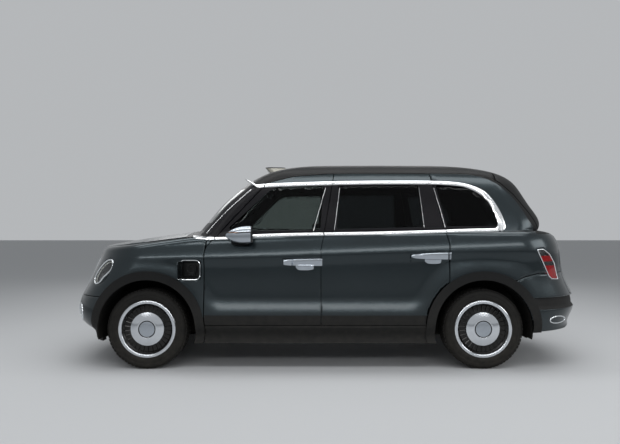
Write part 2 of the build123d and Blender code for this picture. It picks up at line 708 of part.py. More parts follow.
# Arch trims
proud = outer.moved(Location((0, -TRIM_PROUD, 0)))
seat = outer.moved(Location((0, -SEAT_GAP, 0)))
above_road = block(-3000, 3000, -OUT, 0, SILL_BOTTOM, 1000)
arch_trims = []
for disc, well in ((front_trim_disc, front_well), (rear_trim_disc, rear_well)):
    ring = (proud & (disc - well) & above_road) - seat
    ring = ring - block(REAR_AXLE, 3000, -OUT, 0, 0, REAR_SKIRT + half_gap)
    arch_trims.extend(ring.solids())
    arch_trims.extend(other_side(ring).solids())
save("arch_trims", Compound(arch_trims))

# Wheel arch liners
above_sill = block(-3000, 3000, -OUT, 0, SILL_BOTTOM + 20, 1000)
front_liner_core = core_seat & above_sill
rear_liner_core = outer.moved(Location((0, FRAME_IN + SEAT_GAP, 0))) & above_sill
liners = []
for x, depth, liner_core in (
    (FRONT_AXLE, FRONT_WELL_IN, front_liner_core),
    (REAR_AXLE, REAR_WELL_IN, rear_liner_core),
):
    tube = cross_rod(x, TYRE_R, -depth + LINER, -850, WELL_R + LINER)
    tube = tube - cross_rod(x, TYRE_R, -depth, -OUT, WELL_R)
    liner = tube & liner_core
    liner = liner - block(x - 110, x + 110, -depth - 20, -depth + 20, 0, TYRE_R + 180)
    piece = liner.solids().sort_by(SortBy.VOLUME)[-1]
    liners.extend([piece, other_side(piece)])
save("wheel_arch_liners", Compound(liners))

# Wheels
with BuildPart() as tyre:
    with BuildSketch(Plane.XY) as sketch:
        half = TYRE_WIDTH / 2
        with BuildLine():
            Polyline(
                (RIM_R, -half + 14), (RIM_R + 30, -half), (TYRE_R - 42, -half), (TYRE_R - 8, -half + 18),
                (TYRE_R, -half + 44), (TYRE_R, half - 44), (TYRE_R - 8, half - 18), (TYRE_R - 42, half),
                (RIM_R + 30, half), (RIM_R, half - 14), close=True,
            )
        make_face()
    revolve(axis=Axis.Y)
with BuildPart() as rim:
    with BuildSketch(Plane.XY) as sketch:
        rim_out = RIM_R - SEAT_GAP
        rim_in = rim_out - RIM_WALL
        bore = STUB_R + STUB_GAP
        with BuildLine():
            Polyline(
                (rim_out, 92), (rim_out, -95), (rim_in, -95), (rim_in, -76), (150, -74), (148, -90),
                (80, -98), (0, -100), (0, -78), (bore, -78), (bore, -48), (70, -48), (150, -52),
                (rim_in, -56), (rim_in, 92), close=True,
            )
        make_face()
    revolve(axis=Axis.Y)
for name, x in (("front", FRONT_AXLE), ("rear", REAR_AXLE)):
    for piece, shape in (("tyre", tyre.part), ("rim", rim.part)):
        left = shape.moved(Location((x, -WHEEL_Y, TYRE_R)))
        save(f"{piece}_{name}_left", left)
        save(f"{piece}_{name}_right", other_side(left))

# Knuckles: an upright on the kingpin with the stub axle
STUB_END = WHEEL_Y + 72
knuckle = rod(
    (FRONT_AXLE, -KINGPIN_Y, ARM_LOW + STUB_GAP), (FRONT_AXLE, -KINGPIN_Y, ARM_HIGH - STUB_GAP), KINGPIN_R
)
knuckle = knuckle + cross_rod(FRONT_AXLE, TYRE_R, -KINGPIN_Y, -STUB_END, STUB_R)
save("knuckle_left", knuckle)
save("knuckle_right", other_side(knuckle))

# Front subframe, its arms, and the rails it hangs from
subframe = block(FRONT_AXLE - 210, FRONT_AXLE + 250, -335, 0, 228, 290)
subframe = subframe + block(FRONT_AXLE - 65, FRONT_AXLE + 65, -425, -330, 228, RAIL_LOW - SEAT_GAP)
subframe = subframe + block(FRONT_AXLE - 60, FRONT_AXLE + 60, -768, -400, ARM_LOW - 24, ARM_LOW)
subframe = subframe + block(FRONT_AXLE - 34, FRONT_AXLE + 34, -768, -400, ARM_HIGH, ARM_HIGH + 24)
subframe = subframe + other_side(subframe)
save("front_suspension", subframe)
rail = block(-2330, FIREWALL_X - SEAT_GAP, -FRONT_WELL_IN + LINER + SEAT_GAP, -350, RAIL_LOW, 600)
rail = rail + block(-2330, -2240, -439, -350, 566, 682)
rail = rail + block(X_FRONT, TOW_FACE_X + TOW_DEPTH, -720, 0, 566, 600)
rail = rail + block(X_FRONT, -2240, -500, 0, 650, 682)
nose_seat = outer.moved(Location((LOWER_WALL + SEAT_GAP, 0, 0)))
rail = rail & core_seat & nose_seat
tow = rod((X_FRONT, -TOW_Y, TOW_Z), (-2200, -TOW_Y, TOW_Z), TOW_R)
rail = rail - tow - rod((X_FRONT, -TOW_Y, TOW_Z), (TOW_FACE_X, -TOW_Y, TOW_Z), 3 * TOW_R)
rail = rail + other_side(rail)
save("front_rails", rail)
engine = block(-2040, -1500, -300, 300, 290 + SEAT_GAP, 860, 30)
engine = engine + block(-1990, -1560, -330, 330, 700, 900, 30)
save("engine_block", engine)

# Floor, battery and rear axle
floor = block(FIREWALL_X, BOOT_STEP_X + 30, -900, 0, FLOOR_LOW, FLOOR_HIGH)
floor = floor + block(BOOT_STEP_X, BOOT_STEP_X + 30, -900, 0, FLOOR_LOW, BOOT_FLOOR)
floor = floor + block(BOOT_STEP_X, X_REAR, -900, 0, BOOT_FLOOR - 30, BOOT_FLOOR)
floor = floor & outer.moved(Location((0, FRAME_IN + SEAT_GAP, 0))) & core_seat
floor = floor - front_house - rear_house
floor = floor + other_side(floor)
save("floor_pan", floor.solids().sort_by(SortBy.VOLUME)[-1])
save("battery_pack", block(-900, 850, -600, 600, 180, FLOOR_LOW - SEAT_GAP, 15))
axle = cross_rod(REAR_AXLE, TYRE_R, -STUB_END, 0, STUB_R)
axle = axle + cross_rod(REAR_AXLE, TYRE_R, -730, 0, 46)
axle = axle + block(REAR_AXLE - 140, REAR_AXLE + 160, -230, 0, 240, BOOT_FLOOR - 30 - SEAT_GAP)
axle = axle + other_side(axle)
save("rear_axle", axle)

# Cabin
dashboard = block(FIREWALL_X + 20 + SEAT_GAP, -930, -690, 690, 740, 1080)
dashboard = dashboard - block(-1100, -900, -600, 600, 700, 820)
save("dashboard", dashboard)
WHEEL_AT = (-790, 370, 1000)
with BuildPart() as steering:
    with BuildSketch(Plane(origin=WHEEL_AT, x_dir=(0, 1, 0), z_dir=(1, 0, 0.45))):
        Rectangle(370, 34)
        with Locations((0, -90)):
            Rectangle(34, 180)
        Circle(62)
    extrude(amount=12, both=True)
    with BuildSketch(Plane(origin=WHEEL_AT, x_dir=(0, 1, 0), z_dir=(0.45, 0, -1))):
        with Locations((188, 0)):
            Circle(15)
    revolve(axis=Axis(WHEEL_AT, (1, 0, 0.45)))
column = rod(WHEEL_AT, (-960, 370, 1000 - 170 * 0.45), 32)
column = column - block(-1100, -930 + SEAT_GAP, 200, 600, 700, 1080)
save("steering_wheel", steering.part + column)

seat_y = 370
seat = block(-520, -120, seat_y - 190, seat_y + 190, FLOOR_HIGH + SEAT_GAP, 470)
seat = seat + block(-590, -60, seat_y - 250, seat_y + 250, 440, 580, 45)
seat = seat + block(-150, -20, seat_y - 240, seat_y + 240, 500, 1130, 45)
seat = seat + block(-125, -45, seat_y - 140, seat_y + 140, 1100, 1330, 35)
save("driver_seat", seat)
bench = block(820, 1130, -560, 560, FLOOR_HIGH + SEAT_GAP, 520)
bench = bench + block(740, 1240, -585, 585, 550 + SEAT_GAP, 660, 0) + block(780, 1140, -560, 560, 500, 600)
bench = bench + block(1180, 1310, -585, 585, 560, 1200, 45)
save("rear_bench", bench)
partition = block(66, 90, -600, 600, FLOOR_HIGH + SEAT_GAP, 1640)
partition = partition - block(0, 200, -540, 540, 960, 1580)
save("partition", partition)

# Mirrors
housing = block(-880, -650, -1018, -920, 1132, 1278, 48)
foot = block(-850, -720, -960, -840, 1112, 1148, 10)
mirror_piece = (housing + foot) - outer.moved(Location((0, -SEAT_GAP, 0)))
mirror_piece = mirror_piece.solids().sort_by(SortBy.VOLUME)[-1]
save("mirror_left", mirror_piece)
save("mirror_right", other_side(mirror_piece))
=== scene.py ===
"""Dresses a full-size taxi cab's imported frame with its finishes, trim, lamps, wheels and cabin.

Lengths are metres, the nose points along -X, the cab's left side is on -Y and z = 0 is the road.
"""

import logging
import math
from dataclasses import dataclass, field
from enum import Enum
from typing import Any, Callable, Dict, List, Optional, Sequence, Tuple

import bmesh
import bpy
import numpy as np
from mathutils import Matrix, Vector
from mathutils.bvhtree import BVHTree


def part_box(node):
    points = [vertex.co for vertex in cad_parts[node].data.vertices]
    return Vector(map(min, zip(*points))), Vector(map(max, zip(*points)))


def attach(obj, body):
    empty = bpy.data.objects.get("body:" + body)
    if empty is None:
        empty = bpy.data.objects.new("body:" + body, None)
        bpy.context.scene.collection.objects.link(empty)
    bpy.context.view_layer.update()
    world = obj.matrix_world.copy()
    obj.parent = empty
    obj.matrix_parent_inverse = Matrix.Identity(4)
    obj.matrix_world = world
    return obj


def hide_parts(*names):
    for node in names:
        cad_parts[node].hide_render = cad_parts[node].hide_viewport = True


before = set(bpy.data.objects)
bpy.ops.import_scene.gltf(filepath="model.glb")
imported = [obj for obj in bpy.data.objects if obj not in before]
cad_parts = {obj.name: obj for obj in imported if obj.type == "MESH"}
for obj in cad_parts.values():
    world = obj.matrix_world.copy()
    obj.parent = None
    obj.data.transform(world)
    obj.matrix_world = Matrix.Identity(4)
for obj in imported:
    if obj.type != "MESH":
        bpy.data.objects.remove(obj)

LOG = logging.getLogger("cab")
Point = Tuple[float, float, float]
Flat = Tuple[float, float]

FRONT_AXLE = -1.5925
REAR_AXLE = 1.3935
AXLE_Z = 0.355
ARCH_R = 0.516


def linear(code: str) -> Tuple[float, float, float, float]:
    """Turn an sRGB hex value into a linear colour.

    Args:
        code: The value, such as "#20262b".

    Returns:
        Red, green, blue and an alpha of 1.
    """
    parts = [int(code[i:i + 2], 16) / 255 for i in (1, 3, 5)]
    red, green, blue = (c / 12.92 if c <= 0.04045 else ((c + 0.055) / 1.055) ** 2.4 for c in parts)
    return (red, green, blue, 1.0)


def add_node(tree: bpy.types.NodeTree, kind: str, inputs: Optional[Dict] = None, **settings: Any) -> bpy.types.Node:
    """Add a node to a tree with its settings, values and links.

    Args:
        tree: The tree that gets the node.
        kind: The node's type name.
        inputs: Values or output sockets by input name or number.
        settings: The node's own properties.

    Returns:
        The new node.
    """
    node = tree.nodes.new(kind)
    for key, value in settings.items():
        setattr(node, key, value)
    for key, value in (inputs or {}).items():
        if isinstance(value, bpy.types.NodeSocket):
            tree.links.new(value, node.inputs[key])
        else:
            node.inputs[key].default_value = value
    return node


def smooth_step(low: float, high: float, value: float) -> float:
    """Rise smoothly from 0 at low to 1 at high."""
    share = min(1.0, max(0.0, (value - low) / (high - low)))
    return share * share * (3 - 2 * share)


class Grain(Enum):
    """How a surface's fine relief is laid."""

    NONE = "none"
    ORANGE_PEEL = "orange peel"
    MOULDED = "moulded"
    BRUSHED = "brushed"
    CAST = "cast"
    WOVEN = "woven"
    PILE = "pile"
    HIDE = "hide"


@dataclass(frozen=True)
class Finish:
    """One surface finish and the numbers that its material is made from."""

    name: str
    colour: str
    second: str
    roughness: float
    grain: Grain = Grain.MOULDED
    grain_mm: float = 2.0
    relief: float = 0.1
    patch_mm: float = 400.0
    metallic: float = 0.0
    coat: float = 0.0
    coat_roughness: float = 0.05
    sheen: float = 0.0
    transmission: float = 0.0
    ior: float = 1.5
    spread: float = 0.06
    glow: float = 0.0
    dust: float = 0.0
    specular: float = 0.5

    def material(self) -> bpy.types.Material:
        """Give the finish's material, made at its first use."""
        found = bpy.data.materials.get(self.name)
        return found if found else self._make()

    def _make(self) -> bpy.types.Material:
        """Build the material's nodes.

        Returns:
            The new material.
        """
        material = bpy.data.materials.new(self.name)
        material.use_nodes = True
        tree = material.node_tree
        tree.nodes.clear()
        where = add_node(tree, "ShaderNodeTexCoord").outputs["Object"]
        patches = add_node(
            tree, "ShaderNodeTexNoise", {"Vector": where, "Scale": 1000 / self.patch_mm, "Detail": 4.0}
        )
        tone = add_node(
            tree, "ShaderNodeMix", {0: patches.outputs[0], 6: linear(self.colour), 7: linear(self.second)},
            data_type="RGBA",
        ).outputs[2]
        if self.dust:
            tone = self._dusted(tree, where, tone)
        gloss = add_node(
            tree, "ShaderNodeMapRange",
            {
                0: patches.outputs[0], 3: max(0.0, self.roughness - self.spread),
                4: min(1.0, self.roughness + self.spread)
            },
        )
        shader = add_node(
            tree, "ShaderNodeBsdfPrincipled",
            {
                "Base Color": tone, "Roughness": gloss.outputs[0], "Metallic": self.metallic,
                "Coat Weight": self.coat, "Coat Roughness": self.coat_roughness, "IOR": self.ior,
                "Sheen Weight": self.sheen, "Transmission Weight": self.transmission,
                "Specular IOR Level": self.specular,
            },
        )
        if self.glow:
            shader.inputs["Emission Color"].default_value = linear(self.colour)
            shader.inputs["Emission Strength"].default_value = self.glow
        height = self._height(tree, where)
        if height is not None:
            bump = add_node(
                tree, "ShaderNodeBump", {"Height": height, "Strength": self.relief, "Distance": self.grain_mm / 1000},
            )
            tree.links.new(bump.outputs[0], shader.inputs["Normal"])
        output = add_node(tree, "ShaderNodeOutputMaterial", {"Surface": shader.outputs[0]})
        output.is_active_output = True
        return material

    def _dusted(self, tree: bpy.types.NodeTree, where: Any, tone: Any) -> Any:
        """Lay road dust over the colour, thicker near the road and broken by noise.

        Args:
            tree: The material's node tree.
            where: The socket with Object coordinates.
            tone: The socket with the clean colour.

        Returns:
            The socket with the dusted colour.
        """
        level = add_node(tree, "ShaderNodeSeparateXYZ", {0: where}).outputs[2]
        low = add_node(tree, "ShaderNodeMapRange", {0: level, 1: 0.9, 2: 0.0, 3: 0.0, 4: 1.0}).outputs[0]
        blots = add_node(tree, "ShaderNodeTexNoise", {"Vector": where, "Scale": 22.0, "Detail": 6.0}).outputs[0]
        both = add_node(tree, "ShaderNodeMath", {0: low, 1: blots}, operation="MULTIPLY").outputs[0]
        share = add_node(tree, "ShaderNodeMath", {0: both, 1: self.dust}, operation="MULTIPLY").outputs[0]
        return add_node(
            tree, "ShaderNodeMix", {0: share, 6: tone, 7: linear("#6f6a61")}, data_type="RGBA",
        ).outputs[2]

    def _height(self, tree: bpy.types.NodeTree, where: Any) -> Any:
        """Give the relief of the surface.

        Args:
            tree: The material's node tree.
            where: The socket with Object coordinates.

        Returns:
            The socket with the relief's height, or None.
        """
        scale = 1000 / self.grain_mm
        if self.grain is Grain.NONE:
            return None
        if self.grain is Grain.BRUSHED:
            long_way = add_node(tree, "ShaderNodeMapping", {"Vector": where, "Scale": (0.02, 1.0, 1.0)}).outputs[0]
            return add_node(tree, "ShaderNodeTexNoise", {"Vector": long_way, "Scale": scale}).outputs[0]
        if self.grain in (Grain.MOULDED, Grain.HIDE):
            cells = add_node(tree, "ShaderNodeTexVoronoi", {"Vector": where, "Scale": scale}, feature="SMOOTH_F1")
            return cells.outputs[0]
        if self.grain is Grain.WOVEN:
            warp = add_node(tree, "ShaderNodeTexWave", {"Vector": where, "Scale": scale / 6.3}, bands_direction="X")
            weft = add_node(tree, "ShaderNodeTexWave", {"Vector": where, "Scale": scale / 6.3}, bands_direction="Z")
            return add_node(
                tree, "ShaderNodeMath", {0: warp.outputs[1], 1: weft.outputs[1]}, operation="ADD"
            ).outputs[0]
        detail = 8.0 if self.grain in (Grain.CAST, Grain.PILE) else 2.0
        return add_node(tree, "ShaderNodeTexNoise", {"Vector": where, "Scale": scale, "Detail": detail}).outputs[0]


@dataclass(frozen=True)
class MetallicPaint(Finish):
    """Satin metallic coachwork enamel: flakes under a clear coat."""

    def _height(self, tree: bpy.types.NodeTree, where: Any) -> Any:
        """Give the relief of the surface.

        Args:
            tree: The material's node tree.
            where: The socket with Object coordinates.

        Returns:
            The socket with the relief's height, or None.
        """
        cells = add_node(tree, "ShaderNodeTexVoronoi", {"Vector": where, "Scale": 1000 / self.grain_mm})
        return add_node(tree, "ShaderNodeSeparateColor", {0: cells.outputs[1]}).outputs[0]


@dataclass(frozen=True)
class ClearGlass(Finish):
    """Float glass or clear polycarbonate, tinted in its body.

    The specular value says how much of the mirror reflection is left, as through a polarising filter.
    """

    def _make(self) -> bpy.types.Material:
        """Build a see-through shader with faint dust on its gloss.

        Returns:
            The new material.
        """
        material = bpy.data.materials.new(self.name)
        material.use_nodes = True
        tree = material.node_tree
        tree.nodes.clear()
        where = add_node(tree, "ShaderNodeTexCoord").outputs["Object"]
        film = add_node(tree, "ShaderNodeTexNoise", {"Vector": where, "Scale": 1000 / self.patch_mm, "Detail": 5.0})
        gloss = add_node(
            tree, "ShaderNodeMapRange", {0: film.outputs[0], 3: self.roughness, 4: self.roughness + 0.03}
        )
        shader = add_node(
            tree, "ShaderNodeBsdfPrincipled",
            {
                "Base Color": linear(self.colour), "Roughness": gloss.outputs[0], "IOR": self.ior,
                "Transmission Weight": self.transmission,
                "Specular Tint": (2 * self.specular,) * 3 + (1.0,),
            },
        )
        if self.glow:
            shader.inputs["Emission Color"].default_value = linear(self.colour)
            shader.inputs["Emission Strength"].default_value = self.glow
        add_node(tree, "ShaderNodeOutputMaterial", {"Surface": shader.outputs[0]})
        return material


# Coachwork: dark graphite enamel, satin under its clear coat, so that highlights spread wide.
PAINT = MetallicPaint(
    "coach_enamel_graphite", "#2a3235", "#30393d", 0.25, Grain.ORANGE_PEEL, 1.2, 0.05, 700,
    metallic=0.9, coat=0.45, coat_roughness=0.14, spread=0.03, dust=0.12,
)
# Roof: black enamel, glossier than the sides.
ROOF_BLACK = Finish(
    "roof_enamel_black", "#060708", "#0a0b0c", 0.5, Grain.ORANGE_PEEL, 6.0, 0.02, 600, specular=0.22,
)
# Pillar faces and glass borders: gloss black acrylic and fired-on ceramic.
PILLAR_BLACK = Finish(
    "pillar_acrylic_black", "#08080b", "#0e0d12", 0.34, Grain.ORANGE_PEEL, 8.0, 0.02, 300, spread=0.03,
    specular=0.15,
)
# Lower cladding: grained polypropylene, matt, which greys with road dust.
CLADDING = Finish(
    "cladding_polypropylene", "#0b0c0d", "#101112", 0.62, Grain.MOULDED, 2.4, 0.25, 250, dust=0.18,
    specular=0.22,
)
# Bright strips: anodised aluminium, pale and soft in its reflections.
BRIGHT = Finish(
    "strip_anodised_aluminium", "#f2f3f4", "#e6e8ea", 0.2, Grain.BRUSHED, 1.0, 0.03, 200, metallic=1.0, spread=0.05,
)
# Handles and mirror caps: satin chrome on moulded plastic.
SATIN_CHROME = Finish(
    "satin_chrome_plate", "#b9bfc6", "#a7aeb6", 0.24, Grain.ORANGE_PEEL, 5.0, 0.02, 120, metallic=1.0, spread=0.05,
)
# Lamp rims: mirror chrome.
CHROME = Finish(
    "lamp_chrome_plate", "#e9ecee", "#dfe3e6", 0.07, Grain.ORANGE_PEEL, 9.0, 0.01, 90, metallic=1.0, spread=0.03,
)
# Wheel covers: polished aluminium with a turned look.
POLISHED = Finish(
    "wheel_polished_aluminium", "#dfe2e6", "#cfd4da", 0.12, Grain.ORANGE_PEEL, 3.0, 0.02, 60, metallic=1.0,
    spread=0.04, dust=0.2,
)
# Wheel centre band: gloss black enamel.
WHEEL_BLACK = Finish(
    "wheel_enamel_black", "#070708", "#0c0c0d", 0.2, Grain.ORANGE_PEEL, 4.0, 0.02, 80, dust=0.1,
    specular=0.35,
)
# Tyres: matt black rubber, with a grain that breaks up highlights and road dust in it.
TYRE = Finish(
    "tyre_rubber", "#0c0c0c", "#131313", 0.78, Grain.CAST, 2.5, 0.2, 90, spread=0.08, dust=0.22,
    specular=0.2,
)
# Floor's underside: sprayed bitumen, rough and dusty.
UNDERSEAL = Finish(
    "underseal_bitumen", "#0b0c0c", "#121212", 0.75, Grain.CAST, 5.0, 0.3, 200, dust=0.4, specular=0.2,
)
# Knuckles and hubs: cast iron, dark with a coarse skin.
CAST_IRON = Finish(
    "cast_iron", "#3c3d3f", "#4c4843", 0.55, Grain.CAST, 3.0, 0.35, 80, metallic=0.8, dust=0.3,
)
# Engine and housings: cast aluminium, paler and duller than the wheels.
CAST_ALLOY = Finish(
    "cast_aluminium", "#8f9294", "#7b7d80", 0.45, Grain.CAST, 2.5, 0.3, 80, metallic=0.9, dust=0.3,
)
# Arch liners: black felt, which swallows light behind the tyre.
LINER_FELT = Finish(
    "liner_felt", "#08090a", "#0e0e0f", 0.9, Grain.PILE, 3.0, 0.4, 120, dust=0.2, specular=0.1,
)
# Inner door panels: moulded trim with a hide grain.
DOOR_TRIM = Finish(
    "door_trim_moulding", "#17181a", "#1d1e20", 0.65, Grain.HIDE, 3.0, 0.25, 200, specular=0.3,
)
# Dashboard: soft moulded skin, matt, so that it stays dark under the screen.
DASH_SKIN = Finish(
    "dashboard_soft_moulding", "#1b1c1e", "#232426", 0.65, Grain.HIDE, 2.5, 0.25, 160,
)
# Headlining: pale woven cloth, which lights the cabin from above.
HEADLINING = Finish(
    "headlining_cloth", "#8d8a84", "#999690", 0.92, Grain.WOVEN, 2.0, 0.2, 300, sheen=0.2,
)
# Driver's seat: dark leathercloth, with a soft shine on its creases.
SEAT_CLOTH = Finish(
    "seat_leathercloth", "#17181b", "#202226", 0.5, Grain.HIDE, 3.5, 0.3, 160, coat=0.05,
)
# Floor covering: dark cut pile, without shine.
CARPET = Finish(
    "floor_carpet", "#1a1b1c", "#26272a", 0.95, Grain.PILE, 4.0, 0.6, 150, sheen=0.3,
)
# Small fittings: black moulded ABS with a fine grain.
BLACK_PLASTIC = Finish(
    "moulded_abs_black", "#0a0b0c", "#101113", 0.42, Grain.MOULDED, 1.8, 0.15, 120, specular=0.3,
)
# Lamp bowls: vacuum-plated reflector, bright from every side.
REFLECTOR = Finish(
    "lamp_reflector", "#d8dcdf", "#c4c9ce", 0.1, Grain.NONE, 2.0, 0.0, 40, metallic=1.0,
)
# Roof sign: opal acrylic, warm white, with a smooth shine.
SIGN_WHITE = Finish(
    "sign_opal_acrylic", "#eceade", "#e2e0d4", 0.3, Grain.ORANGE_PEEL, 8.0, 0.02, 200, coat=0.3, transmission=0.15,
)
# Lamp housings: near-black moulding, which gives the lamps their depth.
LAMP_DARK = Finish(
    "lamp_housing_black", "#191416", "#221a1c", 0.3, Grain.ORANGE_PEEL, 4.0, 0.02, 60, coat=0.2,
)
# Grille bars: black moulding, less shiny than the paint.
GRILLE_BLACK = Finish(
    "grille_moulding_black", "#0c0d0e", "#141516", 0.38, Grain.MOULDED, 2.0, 0.1, 120, dust=0.2,
)
# Radiator: fine dull fins, seen as a weave behind the grille.
RADIATOR = Finish(
    "radiator_core", "#1d1f21", "#2a2c2e", 0.6, Grain.WOVEN, 6.0, 0.6, 80, metallic=0.6, dust=0.2,
)
# Passengers' seats: leathercloth, a shade bluer than the driver's.
BENCH_CLOTH = Finish(
    "bench_leathercloth", "#1c1d22", "#26282e", 0.52, Grain.HIDE, 3.5, 0.3, 160, coat=0.05,
)
# Grab rails: yellow powder coat, the cabin's one strong colour.
GRAB_YELLOW = Finish(
    "grab_rail_powder_yellow", "#d8a81e", "#cf9f1a", 0.4, Grain.ORANGE_PEEL, 3.0, 0.08, 90, coat=0.2,
)
# Springs and dampers: black powder coat, dusty.
SPRING_PAINT = Finish(
    "spring_powder_coat", "#151617", "#1f2021", 0.45, Grain.ORANGE_PEEL, 2.5, 0.1, 60, dust=0.5,
)
# Subframe and arms: dark dip coat, dusty.
SUBFRAME = Finish(
    "subframe_ecoat", "#16181a", "#202224", 0.5, Grain.ORANGE_PEEL, 3.0, 0.1, 120, dust=0.5,
)
# Front windows: clear glass, which dims the cabin and mirrors little.
WINDOW = ClearGlass(
    "window_glass", "#8f9794", "#8f9794", 0.0, patch_mm=300, transmission=1.0, ior=1.5, specular=0.1,
)
# Rear windows: tinted glass, so that the cabin behind it is almost black.
PRIVACY = ClearGlass(
    "privacy_glass", "#54595a", "#54595a", 0.0, patch_mm=300, transmission=1.0, ior=1.5, specular=0.1,
)
# Lamp glass: clear polycarbonate; then the red and the amber lenses, which glow faintly.
LENS = ClearGlass("lamp_lens_polycarbonate", "#f4f7f8", "#f4f7f8", 0.01, patch_mm=60, transmission=1.0, ior=1.42)
RED_LENS = ClearGlass("lamp_lens_red", "#b3121b", "#b3121b", 0.03, patch_mm=60, transmission=0.85, ior=1.5, glow=0.12)
AMBER_LENS = ClearGlass(
    "lamp_lens_amber", "#d9801f", "#d9801f", 0.03, patch_mm=60, transmission=0.85, ior=1.5, glow=0.05
)
# Mirror glass: silvered, the sharpest reflection on the cab.
MIRROR_GLASS = Finish(
    "mirror_silvered_glass", "#dfe4e6", "#d7dde0", 0.02, Grain.NONE, 2.0, 0.0, 200, metallic=1.0, spread=0.01,
)


def seal(mesh: bpy.types.Mesh, angle: float) -> None:
    """Shade a mesh smooth, with sharp edges above an angle.

    Args:
        mesh: The mesh, changed in place.
        angle: The angle in degrees.
    """
    mesh.polygons.foreach_set("use_smooth", [True] * len(mesh.polygons))
    mesh.set_sharp_from_angle(angle=math.radians(angle))
    mesh.update()


def place(
    mesh: bpy.types.Mesh, name: str, body: str, finishes: Sequence[Finish], angle: float = 35
) -> bpy.types.Object:
    """Make a mesh a piece that rides on a body.

    Args:
        mesh: The finished mesh, in the frame's own place.
        name: The piece's name.
        body: The body that it rides on.
        finishes: The finishes by material number.
        angle: The sharpest bend that is shaded smooth, in degrees.

    Returns:
        The piece.
    """
    slots = np.zeros(len(mesh.polygons), dtype=np.int32)
    mesh.polygons.foreach_get("material_index", slots)
    mesh.materials.clear()
    for finish in finishes:
        mesh.materials.append(finish.material())
    mesh.polygons.foreach_set("material_index", np.minimum(slots, len(finishes) - 1))
    seal(mesh, angle)
    piece = bpy.data.objects.new(name, mesh)
    bpy.context.scene.collection.objects.link(piece)
    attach(piece, body)
    LOG.info("%s: %d faces on %s", name, len(mesh.polygons), body)
    return piece


def piece_from(
    name: str, points: Sequence[Point], faces: Sequence[Sequence[int]], finish: Finish, body: str,
    angle: float = 35, slots: Optional[Sequence[int]] = None, finishes: Optional[Sequence[Finish]] = None,
) -> bpy.types.Object:
    """Make a piece from points and faces.

    Args:
        name: The piece's name.
        points: The corners.
        faces: Corner numbers of each face.
        finish: The finish where finishes isn't given.
        body: The body that it rides on.
        angle: The sharpest bend that is shaded smooth, in degrees.
        slots: The material number of each face.
        finishes: The finishes by material number.

    Returns:
        The piece.
    """
    mesh = bpy.data.meshes.new(name)
    mesh.from_pydata([tuple(p) for p in points], [], [tuple(f) for f in faces])
    if slots:
        mesh.polygons.foreach_set("material_index", list(slots))
    outward(mesh)
    return place(mesh, name, body, finishes or [finish], angle)


def outward(mesh: bpy.types.Mesh) -> None:
    """Merge a mesh's doubles and point its faces outwards.

    Args:
        mesh: The mesh, changed in place.
    """
    work = bmesh.new()
    work.from_mesh(mesh)
    bmesh.ops.remove_doubles(work, verts=work.verts, dist=1e-6)
    bmesh.ops.dissolve_degenerate(work, edges=work.edges, dist=1e-7)
    bmesh.ops.recalc_face_normals(work, faces=work.faces)
    work.to_mesh(mesh)
    work.free()


def loft(rings: Sequence[Sequence[Point]], closed_ring: bool = True, caps: bool = True, loop: bool = False) -> Tuple:
    """Join rings of equal count into a skin.

    Args:
        rings: The rings, each a list of points.
        closed_ring: Whether each ring closes on itself.
        caps: Whether the first and last ring are filled.
        loop: Whether the last ring joins the first.

    Returns:
        Points and faces.
    """
    count = len(rings[0])
    points = [p for ring in rings for p in ring]
    faces = []
    steps = len(rings) if loop else len(rings) - 1
    for i in range(steps):
        j = (i + 1) % len(rings)
        for k in range(count if closed_ring else count - 1):
            m = (k + 1) % count
            faces.append((i * count + k, i * count + m, j * count + m, j * count + k))
    if caps and not loop:
        faces.append(tuple(range(count))[::-1])
        faces.append(tuple((len(rings) - 1) * count + k for k in range(count)))
    return points, faces


def mirrored(points: Sequence[Point]) -> List[Point]:
    """The same points on the cab's other side."""
    return [(x, -y, z) for x, y, z in points]


def spline(points: Sequence[Sequence[float]], count: int, closed: bool = False) -> np.ndarray:
    """Sample a smooth curve through points at even steps.

    Args:
        points: The points that the curve passes.
        count: How many samples to give.
        closed: Whether the curve closes.

    Returns:
        The samples, one a row.
    """
    base = np.array(points, float)
    total = len(base)
    spans = total if closed else total - 1
    dense = []
    for i in range(spans):
        if closed:
            a, b, c, d = (base[(i + k) % total] for k in (-1, 0, 1, 2))
        else:
            a, b, c, d = base[max(i - 1, 0)], base[i], base[i + 1], base[min(i + 2, total - 1)]
        for t in np.linspace(0, 1, 24, endpoint=False):
            dense.append(
                0.5 * (2 * b + (c - a) * t + (2 * a - 5 * b + 4 * c - d) * t * t + (3 * b - a - 3 * c + d) * t ** 3)
            )
    dense.append(base[0] if closed else base[-1])
    line = np.array(dense)
    run = np.concatenate([[0], np.cumsum(np.linalg.norm(np.diff(line, axis=0), axis=1))])
    wanted = np.linspace(0, run[-1], count, endpoint=not closed)
    return np.stack([np.interp(wanted, run, line[:, k]) for k in range(line.shape[1])], axis=1)


def tube(path: Sequence[Sequence[float]], radius: float, sides: int = 12, ends: bool = True) -> Tuple:
    """Sweep a circle along a path.

    Args:
        path: The centreline.
        radius: The circle's radius.
        sides: The circle's corners.
        ends: Whether the ends are filled.

    Returns:
        Points and faces.
    """
    line = [Vector(p) for p in path]
    rings = []
    up = Vector((0, 0, 1))
    for i, p in enumerate(line):
        ahead = (line[min(i + 1, len(line) - 1)] - line[max(i - 1, 0)]).normalized()
        side = ahead.cross(up)
        if side.length < 0.1:
            side = ahead.cross(Vector((0, 1, 0)))
        side.normalize()
        rise = side.cross(ahead).normalized()
        rings.append([
            tuple(p + radius * (math.cos(a) * side + math.sin(a) * rise))
            for a in (2 * math.pi * k / sides for k in range(sides))
        ])
    return loft(rings, caps=ends)


